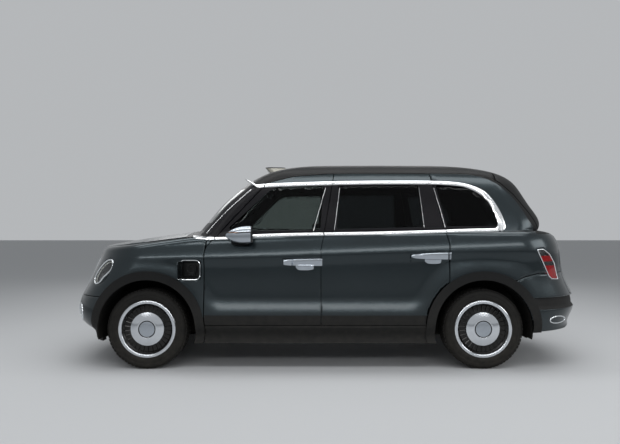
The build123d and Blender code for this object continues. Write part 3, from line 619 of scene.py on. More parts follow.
def turned(profile: Sequence[Flat], centre: Point, steps: int = 96, axis: str = "y", closed: bool = True) -> Tuple:
    """Turn a profile of radius and depth about an axis.

    Args:
        profile: Radius and place along the axis, in order.
        centre: A point on the axis that the places start from.
        steps: How many steps round.
        axis: "y" for wheels or "x" for what faces along the cab.
        closed: Whether the profile's last point joins its first.

    Returns:
        Points and faces.
    """
    rings = []
    for k in range(steps):
        a = 2 * math.pi * k / steps
        c, s = math.cos(a), math.sin(a)
        if axis == "y":
            rings.append([(centre[0] + r * c, centre[1] + d, centre[2] + r * s) for r, d in profile])
        else:
            rings.append([(centre[0] + d, centre[1] + r * c, centre[2] + r * s) for r, d in profile])
    return loft(rings, closed_ring=closed, caps=False, loop=True)


def joined(*parts: Tuple) -> Tuple:
    """Put several sets of points and faces together.

    Args:
        parts: Pairs of points and faces.

    Returns:
        One pair of points and faces.
    """
    points: List[Point] = []
    faces: List[Tuple] = []
    for more, their in parts:
        base = len(points)
        points.extend(more)
        faces.extend(tuple(i + base for i in f) for f in their)
    return points, faces


@dataclass
class PhotoView:
    """The camera that the photograph was taken with, as fitted to the cab."""

    place: Point = (-0.145, -5.644, 1.234)
    focal_px: float = 535.9
    centre: Flat = (310.0, 230.2)
    width_px: int = 620
    height_px: int = 444

    def ray(self, px: float, py: float) -> Vector:
        """Give the direction of a pixel's ray.

        Args:
            px: The pixel's column.
            py: The pixel's row.

        Returns:
            A direction of length one.
        """
        return Vector(
            ((px - self.centre[0]) / self.focal_px, 1.0, (self.centre[1] - py) / self.focal_px)
        ).normalized()

    def camera(self) -> bpy.types.Object:
        """Make the scene's camera.

        Returns:
            The camera object.
        """
        data = bpy.data.cameras.new("camera")
        data.sensor_width = 36.0
        data.lens = 36.0 * self.focal_px / self.width_px
        data.shift_y = (self.centre[1] - self.height_px / 2) / self.width_px
        data.clip_end = 200
        thing = bpy.data.objects.new("camera", data)
        thing.location = self.place
        thing.rotation_euler = (math.radians(90), 0, 0)
        bpy.context.scene.collection.objects.link(thing)
        bpy.context.scene.camera = thing
        return thing


VIEW = PhotoView()


class Skin:
    """The frame's outer surfaces, which trim is laid on."""

    def __init__(self, nodes: Sequence[str]) -> None:
        """Gather the nodes' faces.

        Args:
            nodes: The CAD nodes whose faces count.
        """
        points: List[Point] = []
        faces: List[Tuple] = []
        for name in nodes:
            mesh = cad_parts[name].data
            base = len(points)
            points.extend(tuple(v.co) for v in mesh.vertices)
            faces.extend(tuple(i + base for i in p.vertices) for p in mesh.polygons)
        self.tree = BVHTree.FromPolygons(points, faces)

    def seen(self, px: float, py: float) -> Vector:
        """Find the point of the skin under a pixel of the photograph.

        Args:
            px: The pixel's column.
            py: The pixel's row.

        Returns:
            A point in metres.
        """
        hit = self.tree.ray_cast(Vector(VIEW.place), VIEW.ray(px, py))[0]
        if hit is None:
            raise ValueError(f"nothing lies under pixel {px}, {py}")
        return hit

    def side(self, x: float, z: float, left: bool = True) -> Vector:
        """Find the skin's outermost point at a place in side view.

        Args:
            x: Distance along the cab in metres.
            z: Height in metres.
            left: Whether the left side is meant.

        Returns:
            A point in metres.
        """
        sign = -1 if left else 1
        hit = self.tree.ray_cast(Vector((x, sign * 1.6, z)), Vector((0, -sign, 0)))[0]
        if hit is None:
            raise ValueError(f"no side at {x:.3f}, {z:.3f}")
        return hit

    def cast(self, start: Sequence[float], way: Sequence[float]) -> Tuple[Optional[Vector], Optional[Vector]]:
        """Find where a ray meets the skin.

        Args:
            start: The ray's start.
            way: Its direction.

        Returns:
            The point and the skin's outward direction there, or two times None.
        """
        hit, normal, _, _ = self.tree.ray_cast(Vector(start), Vector(way).normalized())
        if hit is not None and normal.dot(Vector(way)) > 0:
            normal = -normal
        return hit, normal


SIDES = ("left", "right")


@dataclass
class Lines:
    """The cab's trim lines, traced on the photograph as pixels and laid on its side."""

    belt_top: List[Flat] = field(default_factory=lambda: [
        (193.0, 235.7), (205, 236.7), (224.6, 237.0), (252, 234.6), (300, 233.0), (374, 231.8), (430, 230.2),
        (466, 228.9), (497, 228.2),
    ])
    belt_low: List[Flat] = field(default_factory=lambda: [
        (193.8, 238.2), (205, 239.6), (224.6, 239.7), (252, 237.7), (300, 236.0), (374, 234.9), (430, 233.4),
        (466, 232.1), (499, 231.5),
    ])
    cant_top: List[Flat] = field(default_factory=lambda: [
        (251.5, 184.6), (262, 184.0), (270, 183.5), (300, 182.4), (335, 181.4), (380, 180.8), (430, 180.9),
        (455, 182.2), (469, 184.8), (483, 190.5), (490, 196.5), (496, 204.4), (501.6, 214.5), (505.0, 224.0),
        (505.0, 228.8), (501.5, 231.4),
    ])
    cant_low: List[Flat] = field(default_factory=lambda: [
        (251.5, 185.2), (259, 187.8), (268, 187.3), (300, 186.0), (335, 185.0), (380, 184.3), (430, 184.4),
        (455, 185.6), (466, 187.6), (477, 192.6), (484.5, 198.6), (490.5, 206.2), (495, 214.5), (497.4, 222.9),
        (497.4, 226.4), (496, 228.3),
    ])

    def laid(self, top: List[Flat], low: List[Flat], skin: Skin, count: int = 150) -> np.ndarray:
        """Lay a strip's two edges on the skin.

        Args:
            top: The upper edge's pixels.
            low: The lower edge's pixels.
            skin: The skin to lay them on.
            count: Samples along the strip.

        Returns:
            An array of count by 2 by 3: top and low points.
        """
        edges = []
        for line in (top, low):
            points = np.array([skin.seen(px, py) for px, py in spline(line, count)])
            eased = points.copy()
            for rounds in (40, 5):
                for _ in range(rounds):
                    eased[1:-1, 1] = (eased[:-2, 1] + 2 * eased[1:-1, 1] + eased[2:, 1]) / 4
                eased[:, 1] = np.minimum(eased[:, 1], points[:, 1])
            edges.append(eased)
        return np.stack(edges, axis=1)


@dataclass
class Coachwork:
    """The outer panels, dressed from the frame's own solids with their creases and arch flares."""

    tuck: float = 0.022
    flare_out: float = 0.70
    cladding_top: float = 0.484
    sill_top: float = 0.394
    edge: float = 0.034
    recess: Flat = (0.635, 0.545)
    recess_deep: float = 0.022
    lines: Lines = field(default_factory=Lines)
    tail_edge: List[Flat] = field(default_factory=lambda: [
        (440, 174.0), (468.9, 174.8), (486.1, 178.8), (497.6, 184.5), (509.1, 193.7), (520.6, 207.5), (528.6, 220.1),
        (534.3, 229.3), (537, 236),
    ])

    def __post_init__(self) -> None:
        """Lay the trim lines on the frame's skin."""
        sides = [
            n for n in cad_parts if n.startswith(("door_front", "door_rear", "side_frame", "wing", "door_glass"))
        ]
        self.skin = Skin(sides + ["quarter_glass", "roof_panel", "windscreen", "cowl", "tailgate"])
        self.belt = self.lines.laid(self.lines.belt_top, self.lines.belt_low, self.skin)
        self.cant = self.lines.laid(self.lines.cant_top, self.lines.cant_low, self.skin)
        belt_mid = self.belt.mean(axis=1)
        cant_mid = self.cant.mean(axis=1)
        self.belt_line = belt_mid[::6, [0, 2]]
        self.cant_line = cant_mid[::4, [0, 2]]
        tail = np.array([self.skin.seen(px, py) for px, py in spline(self.tail_edge, 14)])
        self.tail_line = tail[:, [0, 2]]

    def shift(self, x: float, y: float, z: float) -> float:
        """Give how far the side is drawn in, below the shoulder and between the arches.

        Args:
            x: Distance along the cab.
            y: Distance across it.
            z: Height.

        Returns:
            A distance in metres.
        """
        weight = smooth_step(0.74, 0.86, abs(y))
        if weight == 0.0 or z > 1.12:
            return 0.0
        near = min(math.hypot(x - FRONT_AXLE, z - AXLE_Z), math.hypot(x - REAR_AXLE, z - AXLE_Z))
        away = smooth_step(ARCH_R, self.flare_out, near)
        crease = 1.0 + 0.05 * smooth_step(-1.1, 1.1, x)
        band = smooth_step(0.484, 0.64, z) * (1 - smooth_step(crease - 0.10, crease, z))
        ends = smooth_step(-1.95, -1.7, x) * (1 - smooth_step(1.75, 2.0, x))
        return self.tuck * weight * away * band * ends

    def worked(self, node: str) -> bmesh.types.BMesh:
        """Give a merged copy of a CAD node's mesh.

        Args:
            node: The CAD node's name.

        Returns:
            The copy, to be freed by the caller.
        """
        work = bmesh.new()
        work.from_mesh(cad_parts[node].data)
        bmesh.ops.remove_doubles(work, verts=work.verts, dist=2e-5)
        bmesh.ops.dissolve_degenerate(work, edges=work.edges, dist=1e-6)
        return work

    def shaped(self, work: bmesh.types.BMesh) -> None:
        """Divide long edges on the lower side and draw it in.

        Args:
            work: The panel's mesh, changed in place.
        """
        for _ in range(6):
            long_edges = [
                e for e in work.edges
                if e.calc_length() > self.edge and abs(e.verts[0].co.y + e.verts[1].co.y) > 1.5
                and min(v.co.z for v in e.verts) < 1.12 and max(v.co.z for v in e.verts) > 0.45
            ]
            if not long_edges:
                break
            bmesh.ops.subdivide_edges(work, edges=long_edges, cuts=1)
            bmesh.ops.triangulate(work, faces=work.faces)
        for v in work.verts:
            v.co.y -= math.copysign(self.shift(*v.co), v.co.y)

    def ledge(self, work: bmesh.types.BMesh) -> None:
        """Push the rear bumper in under its ledge, so that the painted part ends in a sharp edge.

        Args:
            work: The bumper's mesh, changed in place.
        """
        top, low = self.recess
        for z in (top, top - 0.004, (top + low) / 2, low + 0.010, low - 0.018):
            self.level(work, z)
        bmesh.ops.triangulate(work, faces=work.faces)
        work.normal_update()
        moves = []
        for v in work.verts:
            way = Vector((v.normal.x, v.normal.y, 0))
            outer = v.normal.x > 0.25 or v.normal.y * v.co.y > 0.25 * abs(v.co.y)
            if way.length < 0.3 or not outer or v.co.x < 1.7:
                continue
            share = smooth_step(low - 0.020, low + 0.012, v.co.z) * (1.0 if v.co.z < top - 0.002 else 0.0)
            moves.append((v, way.normalized() * -self.recess_deep * share * smooth_step(1.80, 1.93, v.co.x)))
        for v, move in moves:
            v.co += move

    @staticmethod
    def cut(work: bmesh.types.BMesh, line: Sequence[Sequence[float]]) -> None:
        """Cut faces along a line drawn in side view.

        Args:
            work: The mesh, changed in place.
            line: The line's points, as x and z.
        """
        for (x0, z0), (x1, z1) in zip(line[:-1], line[1:]):
            low_x, high_x = min(x0, x1) - 0.06, max(x0, x1) + 0.06
            low_z, high_z = min(z0, z1) - 0.06, max(z0, z1) + 0.06
            faces = [
                f for f in work.faces
                if max(v.co.x for v in f.verts) > low_x and min(v.co.x for v in f.verts) < high_x
                and max(v.co.z for v in f.verts) > low_z and min(v.co.z for v in f.verts) < high_z
            ]
            geometry = faces + list({e for f in faces for e in f.edges}) + list({v for f in faces for v in f.verts})
            way = Vector((x1 - x0, 0, z1 - z0)).cross(Vector((0, 1, 0)))
            bmesh.ops.bisect_plane(work, geom=geometry, plane_co=(x0, 0, z0), plane_no=way, dist=1e-5)

    @staticmethod
    def level(work: bmesh.types.BMesh, z: float) -> None:
        """Cut faces at a height."""
        geometry = list(work.faces) + list(work.edges) + list(work.verts)
        bmesh.ops.bisect_plane(work, geom=geometry, plane_co=(0, 0, z), plane_no=(0, 0, 1), dist=1e-5)

    def between(self, x: float, z: float) -> bool:
        """Say whether a place in side view lies inside the trim's loop.

        Args:
            x: Distance along the cab.
            z: Height.

        Returns:
            True inside the loop.
        """
        if z < np.interp(x, self.belt_line[:, 0], self.belt_line[:, 1]):
            return False
        tail = self.cant_line[self.cant_line[:, 1].argmax():]
        if x > tail[:, 0].max():
            return False
        if z > 1.1 and x > self.cant_line[:, 0].min():
            column = np.interp(x, self.cant_line[:-2, 0], self.cant_line[:-2, 1])
            return z < column
        return True

    def dress(self, node: str, body: str, zone: Callable[[Vector, Vector], int], finishes: Sequence[Finish],
              lines: Sequence[Sequence[Sequence[float]]] = (), levels: Sequence[float] = (), angle: float = 32,
              name: str = "") -> bpy.types.Object:
        """Replace a CAD panel by its dressed copy.

        Args:
            node: The CAD node.
            body: The body that it rides on.
            zone: Gives the finish's number from a face's centre and normal.
            finishes: The finishes by number.
            lines: Side-view lines that the faces are cut along.
            levels: Heights that the faces are cut at.
            angle: The sharpest bend that is shaded smooth, in degrees.
            name: The piece's name where it isn't the node's.

        Returns:
            The piece.
        """
        work = self.worked(node)
        self.shaped(work)
        if node == "rear_bumper":
            self.ledge(work)
        for line in lines:
            self.cut(work, line)
        for z in levels:
            self.level(work, z)
        for face in work.faces:
            face.normal_update()
            face.material_index = zone(face.calc_center_median(), face.normal)
        mesh = bpy.data.meshes.new(name or f"{node}_dressed")
        work.to_mesh(mesh)
        work.free()
        piece = place(mesh, name or f"{node}_dressed", body, finishes, angle)
        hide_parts(node)
        return piece

    def side_zone(self, low: float) -> Callable[[Vector, Vector], int]:
        """Give the zoning of a side panel: 0 paint, 1 cladding, 2 black, 3 inner trim, 4 black roof.

        Args:
            low: Height up to which the panel is cladding.

        Returns:
            A function of a face's centre and normal.
        """
        tail_x, tail_z = self.tail_line[:, 0], self.tail_line[:, 1]

        def zone(centre: Vector, normal: Vector) -> int:
            """Sort one face of a side panel.

            Args:
                centre: The face's centre.
                normal: Its normal.

            Returns:
                The zone's number.
            """
            facing = normal.y * (1 if centre.y > 0 else -1)
            if facing < -0.35:
                return 3
            if centre.z < low:
                return 1
            if centre.z > 1.2 and centre.x > 1.0 and centre.x > np.interp(centre.z, tail_z[::-1], tail_x[::-1]):
                return 4
            if abs(centre.y) < 0.62 and centre.z > 1.3:
                return 3
            return 2 if self.between(centre.x, centre.z) else 0

        return zone

    def build(self) -> None:
        """Dress every outer panel."""
        side_finishes = [PAINT, CLADDING, PILLAR_BLACK, DOOR_TRIM, ROOF_BLACK]
        trim_lines = [self.belt_line, self.cant_line]
        for side in SIDES:
            for end in ("front", "rear"):
                self.dress(
                    f"door_{end}_{side}", f"{end}_{side}_door", self.side_zone(self.cladding_top), side_finishes,
                    trim_lines, [self.cladding_top],
                )
            self.dress(
                f"side_frame_{side}", "shell", self.side_zone(self.sill_top), side_finishes,
                trim_lines + [self.tail_line], [self.sill_top],
            )
            self.dress(
                f"wing_{side}", "shell", lambda c, n: 1 if n.y * c.y < -0.3 * abs(c.y) else 0, [PAINT, UNDERSEAL],
            )
        self.dress("arch_trims", "shell", lambda c, n: 0, [CLADDING])
        self.dress(
            "roof_panel", "shell", lambda c, n: 1 if n.z < -0.2 else 0, [ROOF_BLACK, HEADLINING], angle=40,
        )
        self.dress("bonnet", "bonnet_lid", lambda c, n: 1 if n.z < -0.3 else 0, [PAINT, UNDERSEAL], angle=40)
        self.dress("cowl", "shell", lambda c, n: 0, [BLACK_PLASTIC])
        self.dress("front_panel", "shell", lambda c, n: 1 if n.x > 0.4 else 0, [PAINT, UNDERSEAL], angle=40)
        self.dress(
            "front_bumper", "shell", lambda c, n: 1 if c.z < 0.3 or n.x > 0.5 else 0, [PAINT, CLADDING], levels=[0.3],
        )
        # The recess band from 0.53 to 0.6355 m, behind x 1.84, takes the dark cladding as painted shade for the
        # shadowed recess under the ledge, which is also pushed in; below 0.28 m is the cladding itself.
        self.dress(
            "rear_bumper", "shell",
            lambda c, n: 1 if c.z < 0.28 or 0.53 < c.z < 0.6355 and c.x > 1.84 else 0, [PAINT, CLADDING],
            levels=[0.28, 0.53],
        )
        self.dress(
            "tailgate", "tailgate_lid",
            lambda c, n: 3 if n.x < -0.4 else (4 if c.z > 1.2 else 0), side_finishes, levels=[1.2], angle=40,
        )


@dataclass
class BrightTrim:
    """The anodised strips along the belt and over the side windows."""

    coachwork: Coachwork
    proud: float = 0.006
    lift: float = 0.0015
    sunk: float = 0.005
    gap: float = 0.004

    def ribbon(self, edges: np.ndarray) -> Tuple:
        """Give a raised strip between two edges, rounded over its face.

        Args:
            edges: The strip's two edges, sample by sample.

        Returns:
            Points and faces.
        """
        shares = np.linspace(0, 1, 7)
        rings = []
        along = np.gradient(edges.mean(axis=1), axis=0)
        normals = np.cross(along, edges[:, 1] - edges[:, 0])
        normals *= np.sign(normals[:, 1] * edges[:, 0, 1])[:, None]
        normals /= np.linalg.norm(normals, axis=1)[:, None]
        for _ in range(12):
            normals[1:-1] = (normals[:-2] + 2 * normals[1:-1] + normals[2:]) / 4
        for (top, low), way in zip(edges, normals):
            across = Vector(low) - Vector(top)
            normal = Vector(way).normalized()
            ring = []
            for s in shares:
                rise = self.proud * (1 - (2 * s - 1) ** 4)
                ring.append(tuple(Vector(top) + across * float(s) + normal * (rise + self.lift)))
            ring.append(tuple(Vector(low) - normal * self.sunk))
            ring.append(tuple(Vector(top) - normal * self.sunk))
            rings.append(ring)
        return loft(rings)

    def run(self, edges: np.ndarray, x0: float, x1: float) -> np.ndarray:
        """Give the samples of a strip between two seams, with its ends moved onto them.

        Args:
            edges: All the strip's samples.
            x0: The first seam.
            x1: The second seam.

        Returns:
            The samples in between.
        """
        mid = edges.mean(axis=1)[:, 0]
        order = np.arange(len(mid), dtype=float)
        first = np.interp(x0, mid[: mid.argmax() + 1], order[: mid.argmax() + 1])
        last = np.interp(x1, mid[: mid.argmax() + 1], order[: mid.argmax() + 1]) if x1 < mid.max() else order[-1]
        picks = [first] + [float(i) for i in range(int(first) + 1, int(math.ceil(last)))] + [last]
        flat = edges.reshape(len(edges), 6)
        return np.array([[np.interp(p, order, flat[:, k]) for k in range(6)] for p in picks]).reshape(-1, 2, 3)

    def build(self) -> None:
        """Make each strip, on each side, split where the doors open."""
        seams_belt = (
            ("shell", -1.25, -0.996), ("front_{}_door", -0.996, -0.022), ("rear_{}_door", -0.022, 1.071),
            ("shell", 1.071, 9)
        )
        seams_cant = (
            ("shell", -0.75, -0.560), ("front_{}_door", -0.560, 0.072), ("rear_{}_door", 0.072, 0.958),
            ("shell", 0.958, 9)
        )
        for label, edges, seams in (
            ("belt", self.coachwork.belt, seams_belt), ("cant", self.coachwork.cant, seams_cant)
        ):
            for i, (body, x0, x1) in enumerate(seams):
                part = self.run(edges, x0 + self.gap if i else x0, x1 - self.gap)
                points, faces = self.ribbon(part)
                piece_from(f"{label}_strip_{i}_left", points, faces, BRIGHT, body.format("left"), 40)
                piece_from(f"{label}_strip_{i}_right", mirrored(points), faces, BRIGHT, body.format("right"), 40)


class Pattern:
    """A Geometry Nodes tree with named inputs, baked to a plain mesh."""

    def __init__(self, name: str) -> None:
        """Start an empty tree.

        Args:
            name: The tree's name.
        """
        self.name = name
        self.tree = bpy.data.node_groups.new(name, "GeometryNodeTree")
        self.tree.interface.new_socket("Geometry", in_out="OUTPUT", socket_type="NodeSocketGeometry")
        self.values: Dict[str, Any] = {}
        self.entry = self.tree.nodes.new("NodeGroupInput")
        self.exit = self.tree.nodes.new("NodeGroupOutput")

    def size(self, name: str, value: Any, kind: str = "NodeSocketFloat") -> Any:
        """Add a named input.

        Args:
            name: The input's name.
            value: Its value for this bake.
            kind: Its socket type.

        Returns:
            The socket to link from.
        """
        socket = self.tree.interface.new_socket(name, in_out="INPUT", socket_type=kind)
        self.values[socket.identifier] = value
        return self.entry.outputs[name]

    def add(self, kind: str, inputs: Optional[Dict] = None, **settings: Any) -> bpy.types.Node:
        """Add a node to the tree."""
        return add_node(self.tree, kind, inputs, **settings)

    def bake(self, geometry: Any, finish: Finish) -> bpy.types.Mesh:
        """Realise the geometry, give it its finish and turn it into a plain mesh.

        Args:
            geometry: The socket to realise.
            finish: The finish it gets.

        Returns:
            The plain mesh.
        """
        real = self.add("GeometryNodeRealizeInstances", {0: geometry})
        dressed = self.add("GeometryNodeSetMaterial", {"Geometry": real.outputs[0], "Material": finish.material()})
        self.tree.links.new(dressed.outputs[0], self.exit.inputs[0])
        holder = bpy.data.objects.new(self.name, bpy.data.meshes.new(self.name))
        bpy.context.scene.collection.objects.link(holder)
        modifier = holder.modifiers.new("pattern", "NODES")
        modifier.node_group = self.tree
        for key, value in self.values.items():
            modifier[key] = value
        bpy.context.view_layer.update()
        graph = bpy.context.evaluated_depsgraph_get()
        mesh = bpy.data.meshes.new_from_object(holder.evaluated_get(graph), depsgraph=graph)
        holder.modifiers.remove(modifier)
        bpy.data.objects.remove(holder)
        return mesh

    def ring(self, count: int, radius: float, block: Any, turn: float = 0.0) -> Any:
        """Set a block round the Y axis, its Z side outwards.

        Args:
            count: How many blocks.
            radius: How far from the axis they stand.
            block: The block's geometry socket.
            turn: The first block's angle, in steps.

        Returns:
            The instances' socket.
        """
        points = self.add("GeometryNodePoints", {"Count": count})
        index = self.add("GeometryNodeInputIndex").outputs[0]
        step = self.add("ShaderNodeMath", {0: index, 1: turn}, operation="ADD").outputs[0]
        angle = self.add("ShaderNodeMath", {0: step, 1: 2 * math.pi / count}, operation="MULTIPLY").outputs[0]
        sine = self.add("ShaderNodeMath", {0: angle}, operation="SINE").outputs[0]
        cosine = self.add("ShaderNodeMath", {0: angle}, operation="COSINE").outputs[0]
        way = self.add("ShaderNodeCombineXYZ", {0: sine, 2: cosine}).outputs[0]
        spot = self.add("ShaderNodeVectorMath", {0: way, "Scale": radius}, operation="SCALE").outputs[0]
        placed = self.add("GeometryNodeSetPosition", {"Geometry": points.outputs[0], "Position": spot}).outputs[0]
        spin = self.add("ShaderNodeCombineXYZ", {1: angle}).outputs[0]
        return self.add(
            "GeometryNodeInstanceOnPoints", {"Points": placed, "Instance": block, "Rotation": spin},
        ).outputs[0]


@dataclass
class RoadWheel:
    """A tyre with its tread, a rim with a black vaned band, and a polished cover with a blank centre."""

    name: str
    x: float
    side: int
    y: float = 0.790
    z: float = AXLE_Z
    tread_base: float = 0.3485
    pitches: int = 64
    vanes: int = 30
    tyre_profile: Tuple[Flat, ...] = (
        (0.2225, -0.086), (0.232, -0.094), (0.250, -0.1005), (0.275, -0.1055), (0.300, -0.1072), (0.318, -0.1055),
        (0.332, -0.0995), (0.3415, -0.090), (0.3470, -0.078), (0.3485, -0.060), (0.3485, 0.060), (0.3470, 0.078),
        (0.3415, 0.090), (0.3375, 0.0952), (0.3360, 0.0945), (0.332, 0.0995), (0.318, 0.1055), (0.3065, 0.1072),
        (0.3050, 0.1058), (0.3020, 0.1058), (0.3005, 0.1072), (0.275, 0.1058), (0.268, 0.1048), (0.266, 0.1032),
        (0.262, 0.1028), (0.250, 0.1000), (0.232, 0.094), (0.2225, 0.086),
    )
    flange_profile: Tuple[Flat, ...] = (
        (0.2245, 0.074), (0.2245, 0.0955), (0.2275, 0.1010), (0.2330, 0.1040), (0.2440, 0.1052), (0.2520, 0.1036),
        (0.2545, 0.1005), (0.2540, 0.0975), (0.2300, 0.0900), (0.2222, 0.0800), (0.2222, -0.086), (0.2300, -0.0935),
        (0.2290, -0.0965), (0.2150, -0.0850), (0.2120, -0.0800), (0.2120, 0.0500), (0.2180, 0.0700),
    )
    band_profile: Tuple[Flat, ...] = (
        (0.2246, 0.0780), (0.2246, 0.0700), (0.2100, 0.0480), (0.1300, 0.0480), (0.1300, 0.0560), (0.1480, 0.0600),
        (0.1560, 0.0560), (0.2050, 0.0560), (0.2160, 0.0680),
    )
    cover_profile: Tuple[Flat, ...] = (
        (0.1496, 0.0560), (0.1500, 0.0840), (0.1482, 0.0868), (0.1420, 0.0884), (0.1200, 0.0945), (0.1000, 0.0992),
        (0.0860, 0.1017), (0.0790, 0.1026), (0.0770, 0.1018), (0.0762, 0.0990), (0.0762, 0.0560),
    )
    ring_profile: Tuple[Flat, ...] = (
        (0.0762, 0.0950), (0.0762, 0.1030), (0.0750, 0.1046), (0.0715, 0.1050), (0.0690, 0.1040), (0.0684, 0.1010),
        (0.0684, 0.0950),
    )
    centre_profile: Tuple[Flat, ...] = (
        (0.0001, 0.1058), (0.0200, 0.1056), (0.0400, 0.1049), (0.0600, 0.1037), (0.0684, 0.1022), (0.0684, 0.0950),
        (0.0001, 0.0950),
    )

    def turned_piece(
        self, label: str, profile: Sequence[Flat], finish: Finish, steps: int = 128, angle: float = 40
    ) -> bpy.types.Object:
        """Turn one profile about the wheel's axle."""
        points, faces = turned([(r, self.side * d) for r, d in profile], (self.x, self.side * self.y, self.z), steps)
        return piece_from(f"{label}_{self.name}", points, faces, finish, f"{self.name}_wheel", angle)

    def tread(self) -> bpy.types.Object:
        """Lay five rows of tread blocks round the tyre.

        Returns:
            The tread's object.
        """
        pattern = Pattern(f"tread_{self.name}")
        depth = pattern.size("Block depth", 0.0075)
        count = self.pitches
        rows = []
        for i, (across, width, share) in enumerate(
            (
                (-0.078, 0.022, 0.80), (-0.044, 0.030, 0.78), (0.0, 0.038, 0.86), (0.044, 0.030, 0.78),
                (0.078, 0.022, 0.80)
            )
        ):
            length = 2 * math.pi * self.tread_base / count * share
            size = pattern.add("ShaderNodeCombineXYZ", {0: length, 1: width, 2: depth}).outputs[0]
            cube = pattern.add("GeometryNodeMeshCube", {"Size": size}).outputs[0]
            tilt = pattern.add(
                "GeometryNodeTransform",
                {
                    "Geometry": cube, "Translation": (0, across, 0),
                    "Rotation": (0, 0, 0.22 * (1 if i % 2 else -1) if i != 2 else 0.0)
                },
            ).outputs[0]
            drop = -0.0022 if i in (0, 4) else 0.0
            rows.append(pattern.ring(count, self.tread_base + 0.0024 + drop, tilt, 0.37 * i))
        joined_rows = pattern.add("GeometryNodeJoinGeometry")
        for row in rows:
            pattern.tree.links.new(row, joined_rows.inputs[0])
        moved = pattern.add(
            "GeometryNodeTransform",
            {"Geometry": joined_rows.outputs[0], "Translation": (self.x, self.side * self.y, self.z)},
        ).outputs[0]
        mesh = pattern.bake(moved, TYRE)
        return place(mesh, f"tread_{self.name}", f"{self.name}_wheel", [TYRE], 20)

    def vane_ring(self) -> bpy.types.Object:
        """Set thin vanes round the rim's black band, with dark slots between them.

        Returns:
            The ring's object.
        """
        pattern = Pattern(f"vanes_{self.name}")
        reach = pattern.size("Vane length", 0.050)
        size = pattern.add("ShaderNodeCombineXYZ", {0: 0.0085, 1: 0.010, 2: reach}).outputs[0]
        cube = pattern.add("GeometryNodeMeshCube", {"Size": size}).outputs[0]
        lean = pattern.add("GeometryNodeTransform", {"Geometry": cube, "Rotation": (0.12, 0.0, 0.35)}).outputs[0]
        ring = pattern.ring(self.vanes, 0.181, lean)
        moved = pattern.add(
            "GeometryNodeTransform",
            {"Geometry": ring, "Translation": (self.x, self.side * (self.y + 0.0595), self.z)},
        ).outputs[0]
        mesh = pattern.bake(moved, WHEEL_BLACK)
        return place(mesh, f"vanes_{self.name}", f"{self.name}_wheel", [WHEEL_BLACK], 20)

    def build(self) -> None:
        """Make the wheel's pieces."""
        tyre = self.turned_piece("tyre_carcass", self.tyre_profile, TYRE, 144, 50)
        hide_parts(f"tyre_{self.name}")
        self.tread()
        rim = self.turned_piece("rim_flange", self.flange_profile, POLISHED)
        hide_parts(f"rim_{self.name}")
        self.turned_piece("rim_band", self.band_profile, WHEEL_BLACK)
        self.vane_ring()
        self.turned_piece("wheel_cover", self.cover_profile, POLISHED)
        self.turned_piece("cover_ring", self.ring_profile, WHEEL_BLACK, 96)
        self.turned_piece("cover_centre", self.centre_profile, SATIN_CHROME, 96)
        hub = ((0.0001, 0.047), (0.128, 0.047), (0.128, 0.030), (0.075, 0.020), (0.070, -0.030), (0.0001, -0.030))
        self.turned_piece("hub", hub, CAST_IRON, 64)
        disc = ((0.070, 0.014), (0.155, 0.014), (0.158, 0.016), (0.158, 0.028), (0.155, 0.030), (0.070, 0.030))
        self.turned_piece("brake_disc", disc, CAST_IRON, 72)
        valve = tube(
            [(self.x + 0.150, self.side * (self.y + 0.060), self.z + 0.150),
             (self.x + 0.142, self.side * (self.y + 0.094), self.z + 0.142)], 0.004, 10,
        )
        piece_from(f"valve_{self.name}", *valve, BLACK_PLASTIC, f"{self.name}_wheel")


